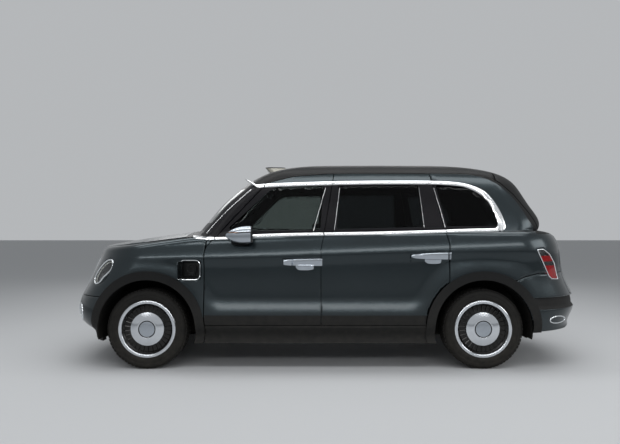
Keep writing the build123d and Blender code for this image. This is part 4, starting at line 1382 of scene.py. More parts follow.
@dataclass
class Windows:
    """The glazing: clear in front, darker beside and behind the passengers."""

    coachwork: Coachwork
    line_width: float = 0.005

    def dressed(self, node: str, body: str, finish: Finish, border: Callable[[Vector], bool],
                cuts: Sequence[Tuple[Point, Point]] = ()) -> bpy.types.Object:
        """Copy a pane, with a black fired border.

        Args:
            node: The CAD pane.
            body: The body that it rides on.
            finish: The pane's glass.
            border: Whether a face's centre lies in the border.
            cuts: A point and a direction of each plane that the border ends at.

        Returns:
            The piece.
        """
        work = self.coachwork.worked(node)
        for where, way in cuts:
            geometry = list(work.faces) + list(work.edges) + list(work.verts)
            bmesh.ops.bisect_plane(work, geom=geometry, plane_co=where, plane_no=way, dist=1e-5)
        for face in work.faces:
            face.material_index = 1 if border(face.calc_center_median()) else 0
        mesh = bpy.data.meshes.new(f"{node}_pane")
        work.to_mesh(mesh)
        work.free()
        piece = place(mesh, f"{node}_pane", body, [finish, PILLAR_BLACK], 40)
        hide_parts(node)
        return piece

    def edge_line(self, name: str, body: str, pixels: Sequence[Flat], width: float) -> None:
        """Lay a thin bright line on the skin along pixels, on both sides of the cab.

        Args:
            name: The piece's name, without its side.
            body: Its body, with a gap for the side.
            pixels: The line in the photograph.
            width: Its width in metres.
        """
        points = [self.coachwork.skin.seen(px, py) for px, py in spline(pixels, 20)]
        top, low = [], []
        for i, p in enumerate(points):
            ahead = (points[min(i + 1, 19)] - points[max(i - 1, 0)]).normalized()
            across = ahead.cross(Vector((0, 1, 0))).normalized() * width / 2
            top.append(p + across)
            low.append(p - across)
        edges = np.stack([np.array(top), np.array(low)], axis=1)
        trim = BrightTrim(self.coachwork, proud=0.003, sunk=0.014)
        points3, faces = trim.ribbon(edges)
        piece_from(f"{name}_left", points3, faces, BRIGHT, body.format("left"), 40)
        piece_from(f"{name}_right", mirrored(points3), faces, BRIGHT, body.format("right"), 40)

    def build(self) -> None:
        """Make every pane and the bright lines at the pillars."""
        low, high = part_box("windscreen")
        self.dressed(
            "windscreen", "shell", WINDOW,
            lambda c: c.z < low.z + 0.07 or c.z > high.z - 0.13 or abs(c.y) > high.y - 0.06 - 0.25 * (c.z - low.z),
            [
                ((0, 0, low.z + 0.07), (0, 0, 1)), ((0, 0, high.z - 0.13), (0, 0, 1)),
                ((0, high.y - 0.06, low.z), (0, 1, 0.25)), ((0, -high.y + 0.06, low.z), (0, -1, 0.25)),
            ],
        )
        for side in SIDES:
            self.dressed(f"door_glass_front_{side}", f"front_{side}_door", WINDOW, lambda c: False)
            self.dressed(f"door_glass_rear_{side}", f"rear_{side}_door", PRIVACY, lambda c: False)
        self.dressed("quarter_glass", "shell", PRIVACY, lambda c: False)
        low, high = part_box("rear_glass")
        self.dressed(
            "rear_glass", "tailgate_lid", PRIVACY, lambda c: c.z < low.z + 0.05 or c.z > high.z - 0.05,
            [((0, 0, low.z + 0.05), (0, 0, 1)), ((0, 0, high.z - 0.05), (0, 0, 1))],
        )
        self.edge_line("pillar_line_a", "shell", [(206.6, 233.2), (222, 216), (238, 201.0), (251.5, 189.4)], 0.006)
        self.edge_line(
            "pillar_line_b", "front_{}_door", [(313.4, 231.0), (319.5, 209), (325.6, 188.2)], self.line_width
        )
        self.edge_line(
            "pillar_line_c", "rear_{}_door", [(334.3, 230.0), (337.2, 208), (339.6, 188.2)], self.line_width
        )
        self.edge_line(
            "pillar_line_d", "rear_{}_door", [(424.2, 227.6), (421.5, 207), (418.8, 187.8)], self.line_width
        )
        self.edge_line("pillar_line_e", "shell", [(445.2, 227.4), (439.4, 207), (433.6, 187.8)], self.line_width)


@dataclass
class SideFittings:
    """Door handles, mirrors, the charge port and its open flap."""

    coachwork: Coachwork

    def blade(
        self, label: str, body: str, pixels_top: Sequence[Flat], pixels_low: Sequence[Flat], proud: float
    ) -> None:
        """Make a tapered handle blade between two lines of pixels, on both sides.

        Args:
            label: The handle's name.
            body: Its body, with a gap for the side.
            pixels_top: The upper line in the photograph.
            pixels_low: The lower line.
            proud: How far it stands out.
        """
        top = [self.coachwork.skin.seen(px, py) for px, py in spline(pixels_top, 22)]
        low = [self.coachwork.skin.seen(px, py) for px, py in spline(pixels_low, 22)]
        rings = []
        for i, (a, b) in enumerate(zip(top, low)):
            t = i / 21
            rise = proud * (0.55 + 0.45 * smooth_step(0, 0.25, t)) * (1 - 0.35 * smooth_step(0.93, 1, t))
            base = min(a.y, b.y) + self.coachwork.shift(a.x, a.y, (a.z + b.z) / 2) + 0.006
            z0, z1 = a.z, b.z
            x = (a.x + b.x) / 2
            fold = z0 + (z1 - z0) * 0.36
            out = base - 0.006 - rise
            rings.append([
                (x, base, z0 - 0.001), (x, out + 0.009, z0), (x, out + 0.003, z0 - 0.002), (x, out, fold + 0.004),
                (x, out + 0.0012, fold - 0.001), (x, out + 0.004, (fold + z1) / 2), (x, out + 0.009, z1 + 0.002),
                (x, out + 0.014, z1), (x, base, z1 + 0.001),
            ])
        points, faces = loft(rings)
        piece_from(f"{label}_left", points, faces, SATIN_CHROME, body.format("left"), 28)
        piece_from(f"{label}_right", mirrored(points), faces, SATIN_CHROME, body.format("right"), 28)

    def handles(self) -> None:
        """Make the four handles: a long blade with a shorter grip below it."""
        self.blade(
            "handle_front", "front_{}_door", [(281.8, 261.0), (286, 259.8), (300, 258.9), (322.2, 258.4)],
            [(281.8, 264.2), (286, 265.2), (300, 265.9), (322.2, 266.1)], 0.034,
        )
        self.blade(
            "grip_front", "front_{}_door", [(295.6, 264.4), (300, 264.6), (307, 264.6), (313.8, 264.6)],
            [(295.8, 267.6), (298.6, 270.0), (308, 270.3), (313.6, 269.4)], 0.026,
        )
        self.blade(
            "handle_rear", "rear_{}_door", [(411.2, 255.2), (416, 253.9), (430, 252.8), (451.0, 252.2)],
            [(411.2, 257.6), (416, 258.6), (430, 259.3), (451.0, 259.6)], 0.034,
        )
        self.blade(
            "grip_rear", "rear_{}_door", [(425.0, 258.0), (429, 258.2), (435, 258.2), (441.4, 258.2)],
            [(425.2, 261.4), (427.6, 263.6), (436, 263.9), (441.2, 263.0)], 0.026,
        )

    def mirror(self, side: str) -> None:
        """Make one mirror: a two-part satin shell, its glass, its lamp strip and its foot.

        Args:
            side: left or right.
        """
        low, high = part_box(f"mirror_{side}")
        sign = -1 if side == "left" else 1
        body = f"front_{side}_door"
        x0, x1 = low.x, high.x
        z0, z1 = high.z - 0.150, high.z
        y_in, y_out = 0.918, max(abs(low.y), abs(high.y))
        rings = []
        steps = 26
        for i in range(steps + 1):
            t = i / steps
            x = x0 + (x1 - x0) * t
            fat = math.sin(min(1.0, 0.03 + t * 1.35) * math.pi / 2) ** 0.62
            half_y = (y_out - y_in) / 2 * fat
            half_z = (z1 - z0) / 2 * fat * (1 - 0.05 * smooth_step(0.85, 1, t))
            mid_z = (z0 + z1) / 2 - 0.010 * (1 - t) - 0.006
            ring = []
            for k in range(40):
                a = 2 * math.pi * k / 40
                c, s = math.cos(a), math.sin(a)
                yy = math.copysign(abs(c) ** 0.72, c) * half_y
                zz = math.copysign(abs(s) ** (0.86 if s > 0 else 0.74), s) * half_z
                ring.append((x, sign * ((y_in + y_out) / 2 + yy), mid_z + zz))
            rings.append(ring)
        points, faces = loft(rings, caps=False)
        base = len(rings) - 1
        inner = [
            (x1 - 0.012, y * 1.0, z) for _, y, z in
            [
                (
                    p[0], sign * ((y_in + y_out) / 2) + (p[1] - sign * (y_in + y_out) / 2) * 0.93,
                    z0 + (z1 - z0) / 2 + (p[2] - (z0 + z1) / 2) * 0.92
                )
                for p in rings[base]
            ]
        ]
        count = 40
        start = len(points)
        points = points + inner
        faces = faces + [
            (
                base * count + k, base * count + (k + 1) % count, start + (k + 1) % count, start + k
            ) for k in range(count)
        ]
        faces = faces + [tuple(range(start, start + count)), tuple(range(count))[::-1]]
        split = (z0 + z1) / 2 + 0.010
        slots = []
        for f in faces:
            zz = sum(points[i][2] for i in f) / len(f)
            xx = sum(points[i][0] for i in f) / len(f)
            if len(f) == count and f[0] == start:
                slots.append(2)
            elif xx > x1 - 0.011 or abs(zz - split) < 0.0045:
                slots.append(1)
            else:
                slots.append(0)
        shell = piece_from(
            f"mirror_shell_{side}", points, faces, SATIN_CHROME, body, 50, slots, [
                SATIN_CHROME, BLACK_PLASTIC, MIRROR_GLASS
            ],
        )
        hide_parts(f"mirror_{side}")
        mid_y = (y_in + y_out) / 2
        foot_path = [
            (x0 + 0.10, sign * (mid_y - 0.01), z0 + 0.020), (x0 + 0.105, sign * 0.925, z0 - 0.002),
            (x0 + 0.11, sign * 0.902, z0 - 0.012), (x0 + 0.115, sign * 0.880, z0 - 0.016),
        ]
        rings = []
        for i, (fx, fy, fz) in enumerate(spline(foot_path, 14)):
            t = i / 13
            half_x, half_z = 0.058 + 0.022 * t * t, 0.013 + 0.006 * t * t
            rings.append([
                (
                    fx + half_x * math.cos(a), fy, fz + half_z * math.sin(a)
                ) for a in (2 * math.pi * k / 24 for k in range(24))
            ])
        piece_from(f"mirror_foot_{side}", *loft(rings), BLACK_PLASTIC, body, 40)
        lamp = []
        for i in range(12):
            t = i / 11
            fx = x0 + 0.030 + 0.085 * t
            yy = y_in + (y_out - y_in) * (0.78 + 0.19 * smooth_step(0, 1, t))
            lamp.append((fx, sign * (yy - 0.0035), split))
        piece_from(f"mirror_lamp_{side}", *tube(lamp, 0.0042, 10), AMBER_LENS, body, 40)

    def port(self) -> None:
        """Make the charge port's bright frame, its recess and its socket."""
        socket_y = -0.902
        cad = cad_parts["charge_port"]
        cad.data.materials.clear()
        cad.data.materials.append(BLACK_PLASTIC.material())
        x0, x1, z0, z1 = -1.289, -1.120, 0.803, 0.964
        corner = 0.036
        rings = []
        for inset, depth in (
            (-0.0095, 0.0015), (-0.0083, 0.0045), (-0.0045, 0.0060), (-0.0022, 0.0045), (-0.0012, 0.0),
            (-0.0012, -0.012), (-0.0095, -0.010),
        ):
            ring = []
            for cx, cz, a0 in (
                (x1 - corner, z1 - corner, 0), (x0 + corner, z1 - corner, 90), (x0 + corner, z0 + corner, 180),
                (x1 - corner, z0 + corner, 270)
            ):
                for k in range(9):
                    a = math.radians(a0 + 90 * k / 8)
                    px, pz = cx + (corner - inset) * math.cos(a), cz + (corner - inset) * math.sin(a)
                    hit = self.coachwork.skin.tree.ray_cast(
                        Vector((cx + corner * math.cos(a) * 1.03, -1.6, cz + corner * math.sin(a) * 1.03)),
                        Vector((0, 1, 0))
                    )[0]
                    base = hit.y if hit is not None and hit.y < -0.90 else -0.927
                    ring.append((px, base - depth, pz))
            rings.append(ring)
        piece_from("port_frame", *loft(rings, caps=False, loop=True), CHROME, "shell", 40)
        parts = []
        mid_x, mid_z = (x0 + x1) / 2 + 0.012, (z0 + z1) / 2 + 0.010
        shroud = turned(
            [
                (0.041, 0.0), (0.043, -0.010), (0.041, -0.013), (0.036, -0.012), (0.034, 0.004), (0.0001, 0.004),
                (0.0001, 0.006), (0.041, 0.006)
            ],
            (mid_x, socket_y, mid_z), 48,
        )
        parts.append(shroud)
        for radius, turn, count in ((0.019, 90, 5), (0.0, 0, 1)):
            for k in range(count):
                a = math.radians(turn + 360 * k / max(count, 1))
                parts.append(turned(
                    [(0.0001, -0.010), (0.0036, -0.010), (0.0050, -0.008), (0.0050, 0.005), (0.0001, 0.005)],
                    (mid_x + radius * math.cos(a), socket_y, mid_z + radius * math.sin(a)), 16,
                ))
        for dx in (-0.015, 0.015):
            parts.append(turned(
                [
                    (0.0115, 0.005), (0.0115, -0.007), (0.0100, -0.008), (0.0078, -0.007), (0.0078, 0.004),
                    (0.0001, 0.004), (0.0001, 0.005)
                ],
                (mid_x + dx, socket_y, mid_z - 0.050), 24,
            ))
        points, faces = joined(*parts)
        piece_from("port_socket", points, faces, BLACK_PLASTIC, "shell", 35)
        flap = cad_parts["charge_flap"]
        flap.data.materials.clear()
        flap.data.materials.append(PAINT.material())

    def build(self) -> None:
        """Make the side's fittings."""
        self.handles()
        for side in SIDES:
            self.mirror(side)
        self.port()


class Seats:
    """Places that a pattern's blocks are set on, each with its own turn and size."""

    def __init__(self) -> None:
        """Start with no places."""
        self.places: List[Point] = []
        self.turns: List[Point] = []
        self.sizes: List[Point] = []

    def add(self, place_at: Sequence[float], turn: Point = (0, 0, 0), size: Point = (1, 1, 1)) -> None:
        """Add one place, with its turn in radians and its block's size.

        Args:
            place_at: Its place.
            turn: Its turn about x, y and z.
            size: Its block's size along x, y and z.
        """
        self.places.append(tuple(place_at))
        self.turns.append(turn)
        self.sizes.append(size)

    def set_out(
        self, name: str, body: str, finish: Finish, block: str = "cube", angle: float = 25
    ) -> bpy.types.Object:
        """Set a block on every place by Geometry Nodes and bake it.

        Args:
            name: The piece's name.
            body: The body that it rides on.
            finish: Its finish.
            block: "cube" for bars and vanes or "rod" for what is round along its local Z.
            angle: The sharpest bend that is shaded smooth, in degrees.

        Returns:
            The piece.
        """
        tree = bpy.data.node_groups.new(name, "GeometryNodeTree")
        tree.interface.new_socket("Places", in_out="INPUT", socket_type="NodeSocketGeometry")
        sides = tree.interface.new_socket("Sides", in_out="INPUT", socket_type="NodeSocketInt")
        tree.interface.new_socket("Pattern", in_out="OUTPUT", socket_type="NodeSocketGeometry")
        entry = tree.nodes.new("NodeGroupInput")
        points = add_node(tree, "GeometryNodeMeshToPoints", {0: entry.outputs["Places"]}).outputs[0]
        turn = add_node(
            tree, "GeometryNodeInputNamedAttribute", {"Name": "turn"}, data_type="FLOAT_VECTOR"
        ).outputs[0]
        size = add_node(
            tree, "GeometryNodeInputNamedAttribute", {"Name": "size"}, data_type="FLOAT_VECTOR"
        ).outputs[0]
        if block == "cube":
            unit = add_node(tree, "GeometryNodeMeshCube", {"Size": (1, 1, 1)}).outputs[0]
        else:
            unit = add_node(
                tree, "GeometryNodeMeshCylinder", {"Vertices": entry.outputs["Sides"], "Radius": 0.5, "Depth": 1.0},
            ).outputs[0]
        set_on = add_node(
            tree, "GeometryNodeInstanceOnPoints", {
                "Points": points, "Instance": unit, "Rotation": turn, "Scale": size
            },
        ).outputs[0]
        real = add_node(tree, "GeometryNodeRealizeInstances", {0: set_on}).outputs[0]
        dressed = add_node(
            tree, "GeometryNodeSetMaterial", {"Geometry": real, "Material": finish.material()}
        ).outputs[0]
        add_node(tree, "NodeGroupOutput", {0: dressed})
        base = bpy.data.meshes.new(name)
        base.from_pydata(self.places, [], [])
        for label, values in (("turn", self.turns), ("size", self.sizes)):
            base.attributes.new(label, "FLOAT_VECTOR", "POINT").data.foreach_set(
                "vector", np.array(values, float).ravel()
            )
        holder = bpy.data.objects.new(name, base)
        bpy.context.scene.collection.objects.link(holder)
        modifier = holder.modifiers.new("pattern", "NODES")
        modifier.node_group = tree
        modifier[sides.identifier] = 12
        bpy.context.view_layer.update()
        graph = bpy.context.evaluated_depsgraph_get()
        mesh = bpy.data.meshes.new_from_object(holder.evaluated_get(graph), depsgraph=graph)
        bpy.data.objects.remove(holder)
        return place(mesh, name, body, [finish], angle)


def islands(node: str) -> List[Tuple[List[Vector], List[Tuple[int, ...]]]]:
    """Split a CAD node's merged mesh into its separate solids.

    Args:
        node: The CAD node.

    Returns:
        The points and faces of each solid.
    """
    work = bmesh.new()
    work.from_mesh(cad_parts[node].data)
    bmesh.ops.remove_doubles(work, verts=work.verts, dist=2e-5)
    work.verts.ensure_lookup_table()
    seen: set = set()
    found = []
    for start in work.verts:
        if start.index in seen:
            continue
        group, stack = [], [start]
        seen.add(start.index)
        while stack:
            vert = stack.pop()
            group.append(vert)
            for edge in vert.link_edges:
                other = edge.other_vert(vert)
                if other.index not in seen:
                    seen.add(other.index)
                    stack.append(other)
        order = {v.index: i for i, v in enumerate(group)}
        faces = {f for v in group for f in v.link_faces}
        found.append(([v.co.copy() for v in group], [tuple(order[v.index] for v in f.verts) for f in faces]))
    work.free()
    return found


def rim_loop(points: Sequence[Vector], faces: Sequence[Tuple[int, ...]]) -> List[Vector]:
    """Give the longest open edge loop of some faces, in order.

    Args:
        points: The mesh's points.
        faces: Its faces, as indices.

    Returns:
        The loop's points.
    """
    count: Dict[Tuple[int, int], int] = {}
    for face in faces:
        for a, b in zip(face, face[1:] + face[:1]):
            key = (min(a, b), max(a, b))
            count[key] = count.get(key, 0) + 1
    links: Dict[int, List[int]] = {}
    for (a, b), times in count.items():
        if times == 1:
            links.setdefault(a, []).append(b)
            links.setdefault(b, []).append(a)
    best: List[int] = []
    left = set(links)
    while left:
        start = left.pop()
        loop, last, here = [start], None, start
        while True:
            ahead = [n for n in links[here] if n != last and (n in left or n == start)]
            if not ahead or ahead[0] == start:
                break
            last, here = here, ahead[0]
            left.discard(here)
            loop.append(here)
        if len(loop) > len(best):
            best = loop
    return [points[i] for i in best]


def evened(loop: Sequence[Vector], count: int, rounds: int = 3) -> List[Vector]:
    """Space a closed loop's points evenly and ease its corners.

    Args:
        loop: The closed loop's points.
        count: How many points to give.
        rounds: How often corners are eased.

    Returns:
        The new points.
    """
    line = np.array([tuple(p) for p in loop] + [tuple(loop[0])])
    run = np.concatenate([[0], np.cumsum(np.linalg.norm(np.diff(line, axis=0), axis=1))])
    wanted = np.linspace(0, run[-1], count, endpoint=False)
    even = np.stack([np.interp(wanted, run, line[:, k]) for k in range(3)], axis=1)
    for _ in range(rounds):
        even = (np.roll(even, 1, 0) + 2 * even + np.roll(even, -1, 0)) / 4
    return [Vector(p) for p in even]


def hoop(loop: Sequence[Vector], way: Callable[[Vector], Vector], wide: float, proud: float) -> Tuple:
    """Sweep a flat-backed rounded section round a closed loop.

    Args:
        loop: The loop's points in order.
        way: Gives the outward direction at a point.
        wide: The section's width.
        proud: How far it stands out.

    Returns:
        Points and faces.
    """
    rings = []
    count = len(loop)
    for i, p in enumerate(loop):
        along = (loop[(i + 1) % count] - loop[i - 1]).normalized()
        out = way(p)
        out = (out - along * out.dot(along)).normalized()
        across = along.cross(out).normalized()
        ring = []
        for k in range(9):
            a = math.pi * k / 8
            ring.append(tuple(p + across * (math.cos(a) * wide / 2) + out * (math.sin(a) * proud)))
        ring.append(tuple(p - across * (wide / 2) - out * 0.004))
        ring.append(tuple(p + across * (wide / 2) - out * 0.004))
        rings.append(ring)
    return loft(rings, caps=False, loop=True)


@dataclass
class Lamps:
    """Head lamps, fog lamps and tail lamps: a lens, a bowl, a bright rim and what shines inside."""

    head_rim: float = 0.013
    fog_rim: float = 0.010
    tail_rim: float = 0.009
    lens_thick: float = 0.003
    head_narrow: float = 0.76

    def shell(self, name: str, body: str, points: Sequence[Vector], faces: Sequence[Tuple[int, ...]],
              inward: Callable[[Vector], Vector], finishes: Sequence[Finish],
              zone: Callable[[Vector], int]) -> bpy.types.Object:
        """Give a surface a thin wall inwards and make it a piece.

        Args:
            name: The piece's name.
            body: The body it rides on.
            points: The surface's points.
            faces: Its faces.
            inward: Gives the direction of the wall's thickness.
            finishes: The piece's finishes.
            zone: Gives a face's finish by its number.

        Returns:
            The piece.
        """
        used = sorted({i for f in faces for i in f})
        order = {v: i for i, v in enumerate(used)}
        outer = [points[i] for i in used]
        inner = [p + inward(p) * self.lens_thick for p in outer]
        total = len(outer)
        skin = [tuple(order[i] for i in f) for f in faces]
        back = [tuple(i + total for i in reversed(f)) for f in skin]
        count: Dict[Tuple[int, int], int] = {}
        for f in skin:
            for a, b in zip(f, f[1:] + f[:1]):
                count[(a, b)] = count.get((a, b), 0) + 1
        wall = [(b, a, a + total, b + total) for (a, b) in count if (b, a) not in count]
        every = skin + back + wall
        both = outer + inner
        slots = [zone(sum((both[i] for i in f), Vector()) / len(f)) for f in every]
        return piece_from(name, both, every, finishes[0], body, 40, slots, finishes)

    def narrowed(self, points: Sequence[Vector], loop: Sequence[Vector], way: Vector,
                 share: Optional[float] = None) -> List[Vector]:
        """Draw points in towards the long axis of a lamp's outline, keeping them on its bulge.

        Args:
            points: The points to move.
            loop: The lamp's outline.
            way: The lamp's outward direction.
            share: How much of the width is left; the head lamp's own share where it isn't given.

        Returns:
            The moved points.
        """
        share = self.head_narrow if share is None else share
        mid = sum(loop, Vector()) / len(loop)
        far = max(loop, key=lambda p: (p - mid - way * (p - mid).dot(way)).length)
        long_way = (far - mid - way * (far - mid).dot(way)).normalized()
        cross = way.cross(long_way).normalized()
        out = []
        for p in points:
            q = p - mid
            a, n, w = q.dot(long_way), q.dot(cross), q.dot(way)
            keep = (a * a + share * share * n * n) / max(a * a + n * n, 1e-9) if w < 0 else 1.0
            out.append(mid + long_way * a + cross * (n * share) + way * (w * keep))
        return out

    def head(self, number: int, points: List[Vector], faces: List[Tuple[int, ...]], fog: bool) -> bpy.types.Object:
        """Make one lamp at the nose.

        Args:
            number: The lamp's number.
            points: The solid's corners.
            faces: The solid's faces.
            fog: Whether it is a fog lamp.

        Returns:
            Its lens.
        """
        centre = sum(points, Vector()) / len(points)
        side = -1 if centre.y < 0 else 1
        way = Vector((-0.72, side * 0.69, 0)) if fog else Vector((-0.66, side * 0.29, 0.69))
        way.normalize()
        outer, rest = [], []
        for f in faces:
            normal = (points[f[1]] - points[f[0]]).cross(points[f[2]] - points[f[0]])
            if normal.length < 1e-12:
                continue
            (outer if normal.normalized().dot(way) > 0.45 else rest).append(f)
        label = ("fog" if fog else "head") + f"_lamp_{number}"
        full = evened(rim_loop(points, outer), 120, 2)
        if not fog:
            points = self.narrowed(points, full, way)
            ways = [self.narrowed(full, full, way, k) for k in np.linspace(1.0, self.head_narrow, 6)]
            rings = [[tuple(p + way * 0.0006) for p in ring] for ring in ways]
            rings += [[tuple(p - way * 0.005) for p in ring] for ring in reversed(ways)]
            piece_from(f"{label}_surround", *loft(rings, caps=False, loop=True), PAINT, "shell", 40)
        lens = self.shell(f"{label}_lens", "shell", points, outer, lambda p: -way, [LENS], lambda c: 0)
        depth = 0.030 if fog else 0.042
        front = evened(rim_loop(points, outer), 96, 2)
        mid = sum(front, Vector()) / len(front)
        rings = []
        for share, sink in (
            (0.985, 0.004), (0.96, 0.012), (0.86, depth * 0.7), (0.66, depth * 0.94), (0.40, depth), (0.05, depth)
        ):
            rings.append(
                [tuple(mid + (p - mid) * share - way * (sink + (0.004 if share < 0.7 else 0))) for p in front]
            )
        bowl_points, bowl_faces = loft(rings, caps=False)
        base = [tuple(Vector(p) - way * 0.003) for p in bowl_points]
        total = len(bowl_points)
        closed_faces = bowl_faces + [tuple(i + total for i in reversed(f)) for f in bowl_faces]
        count = len(front)
        last = (len(rings) - 1) * count
        closed_faces += [(k, (k + 1) % count, (k + 1) % count + total, k + total) for k in range(count)]
        closed_faces += [
            tuple(last + k for k in range(count)), tuple(last + total + k for k in reversed(range(count)))
        ]
        piece_from(
            f"{label}_bowl", bowl_points + base, closed_faces, REFLECTOR if fog else PILLAR_BLACK, "shell", 40,
        )
        rim = evened(rim_loop(points, outer), 120, 2)
        piece_from(
            f"{label}_rim", *hoop(
                rim, lambda p: way, self.fog_rim if fog else self.head_rim, 0.0055
            ), CHROME, "shell", 40,
        )
        across = way.cross(Vector((0, 0, 1))).normalized()
        up = across.cross(way).normalized()
        spots = [(0.0, 0.0, 0.036)] if fog else [(0.0, 0.036, 0.034), (0.0, -0.040, 0.030)]
        for i, (u, v, radius) in enumerate(spots):
            spot = mid + across * u + up * v - way * (depth - 0.006)
            rings = []
            for r, rise in (
                (radius, -0.008), (radius, 0.004), (radius - 0.002, 0.0065), (radius - 0.006, 0.004),
                (radius - 0.007, -0.004)
            ):
                rings.append(
                    [
                        tuple(spot + (across * math.cos(a) + up * math.sin(a)) * r + way * rise)
                        for a in (2 * math.pi * k / 48 for k in range(48))
                    ]
                )
            piece_from(f"{label}_collar_{i}", *loft(rings, caps=False, loop=True), CHROME, "shell", 40)
            rings = []
            for k in range(9):
                t = math.radians(90 * k / 8)
                r, rise = (radius - 0.006) * math.cos(t) + 1e-4, -0.003 + 0.013 * math.sin(t)
                rings.append(
                    [
                        tuple(spot + (across * math.cos(a) + up * math.sin(a)) * r + way * rise)
                        for a in (2 * math.pi * j / 40 for j in range(40))
                    ]
                )
            piece_from(f"{label}_eye_{i}", *loft(rings), LENS, "shell", 60)
        if not fog:
            inner = [mid + (p - mid) * 0.90 - way * 0.016 for p in front]
            piece_from(f"{label}_day_strip", *hoop(inner, lambda p: way, 0.007, 0.004), SIGN_WHITE, "shell", 50)
        return lens

    def nose(self) -> None:
        """Make the head and fog lamps."""
        first = None
        for i, (points, faces) in enumerate(islands("front_lamps")):
            centre = sum(points, Vector()) / len(points)
            lens = self.head(i, points, faces, centre.z < 0.6)
            first = first or lens
        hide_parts("front_lamps")

    def tail(self) -> None:
        """Make the tail lamps: a zoned lens over a dark bowl, with bright rim and ribs."""
        first = None
        for i, (points, faces) in enumerate(islands("tail_lamps")):
            side = -1 if sum(p.y for p in points) < 0 else 1
            outer = []
            for f in faces:
                normal = (points[f[1]] - points[f[0]]).cross(points[f[2]] - points[f[0]])
                if normal.length > 1e-12 and normal.normalized().y * side > 0.04:
                    outer.append(f)
            low, high = min(p.z for p in points), max(p.z for p in points)
            mid = sum(points, Vector()) / len(points)
            inward = Vector((-0.5, -side * 0.8, 0)).normalized()

            def zone(centre: Vector) -> int:
                """Sort a lens face by its height."""
                share = (high - centre.z) / (high - low)
                return 1 if share < 0.22 or 0.40 < share < 0.54 else 0

            work = bmesh.new()
            verts = [work.verts.new(p) for p in points]
            for f in outer:
                work.faces.new([verts[k] for k in f])
            for share in (0.22, 0.40, 0.54):
                geometry = list(work.faces) + list(work.edges) + list(work.verts)
                bmesh.ops.bisect_plane(
                    work, geom=geometry, plane_co=(0, 0, high - share * (high - low)), plane_no=(0, 0, 1), dist=1e-5,
                )
            work.verts.index_update()
            cut_points = [v.co.copy() for v in work.verts]
            cut_faces = [tuple(v.index for v in f.verts) for f in work.faces]
            work.free()
            lens = self.shell(
                f"tail_lamp_{i}_lens", "shell", cut_points, cut_faces, lambda p: inward, [RED_LENS, LENS], zone,
            )
            first = first or lens
            back_faces = [f for f in cut_faces]
            backing = [p + inward * 0.022 for p in cut_points]
            self.shell(
                f"tail_lamp_{i}_bowl", "shell", backing, back_faces, lambda p: inward, [LAMP_DARK, REFLECTOR],
                lambda c: 1 if zone(c) == 0 else 0,
            )
            loop = evened(rim_loop(points, outer), 140, 1)
            centre = mid

            def away(p: Vector) -> Vector:
                """The lamp's outward direction at a point of its rim."""
                return Vector((0.35 + 0.9 * smooth_step(1.95, 2.12, p.x), side * 1.0, 0.1)).normalized()

            piece_from(f"tail_lamp_{i}_rim", *hoop(loop, away, self.tail_rim, 0.005), CHROME, "shell", 40)
            bars = Seats()
            tree = BVHTree.FromPolygons(cut_points, cut_faces)
            for k in range(16):
                z = low + (high - low) * (0.06 + 0.9 * k / 15)
                for t in range(26):
                    x = 1.86 + 0.26 * t / 25
                    hit = tree.ray_cast(Vector((x, side * 1.3, z)), Vector((0, -side, 0)))[0]
                    if hit is not None and zone(hit) == 0:
                        bars.add(hit + inward * 0.014, (0, 0, math.atan2(side * -0.13, 0.12)), (0.014, 0.006, 0.0022))
            bars.set_out(f"tail_lamp_{i}_ribs", "shell", RED_LENS)
        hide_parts("tail_lamps")

    def build(self) -> None:
        """Make every lamp."""
        self.nose()
        self.tail()


def round_corners(corners: Sequence[Flat], radius: float, steps: int = 6) -> List[Flat]:
    """Round a closed polygon's corners.

    Args:
        corners: The corners in order.
        radius: Each corner's radius, held to a third of its sides.
        steps: Points on each corner, less one.

    Returns:
        The outline's points.
    """
    outline: List[Flat] = []
    count = len(corners)
    for i in range(count):
        here = np.array(corners[i], float)
        back, ahead = np.array(corners[i - 1], float) - here, np.array(corners[(i + 1) % count], float) - here
        reach = min(radius, np.linalg.norm(back) / 3, np.linalg.norm(ahead) / 3)
        a = here + back / np.linalg.norm(back) * reach
        b = here + ahead / np.linalg.norm(ahead) * reach
        for k in range(steps + 1):
            t = k / steps
            outline.append(tuple((1 - t) ** 2 * a + 2 * t * (1 - t) * here + t * t * b))
    return outline


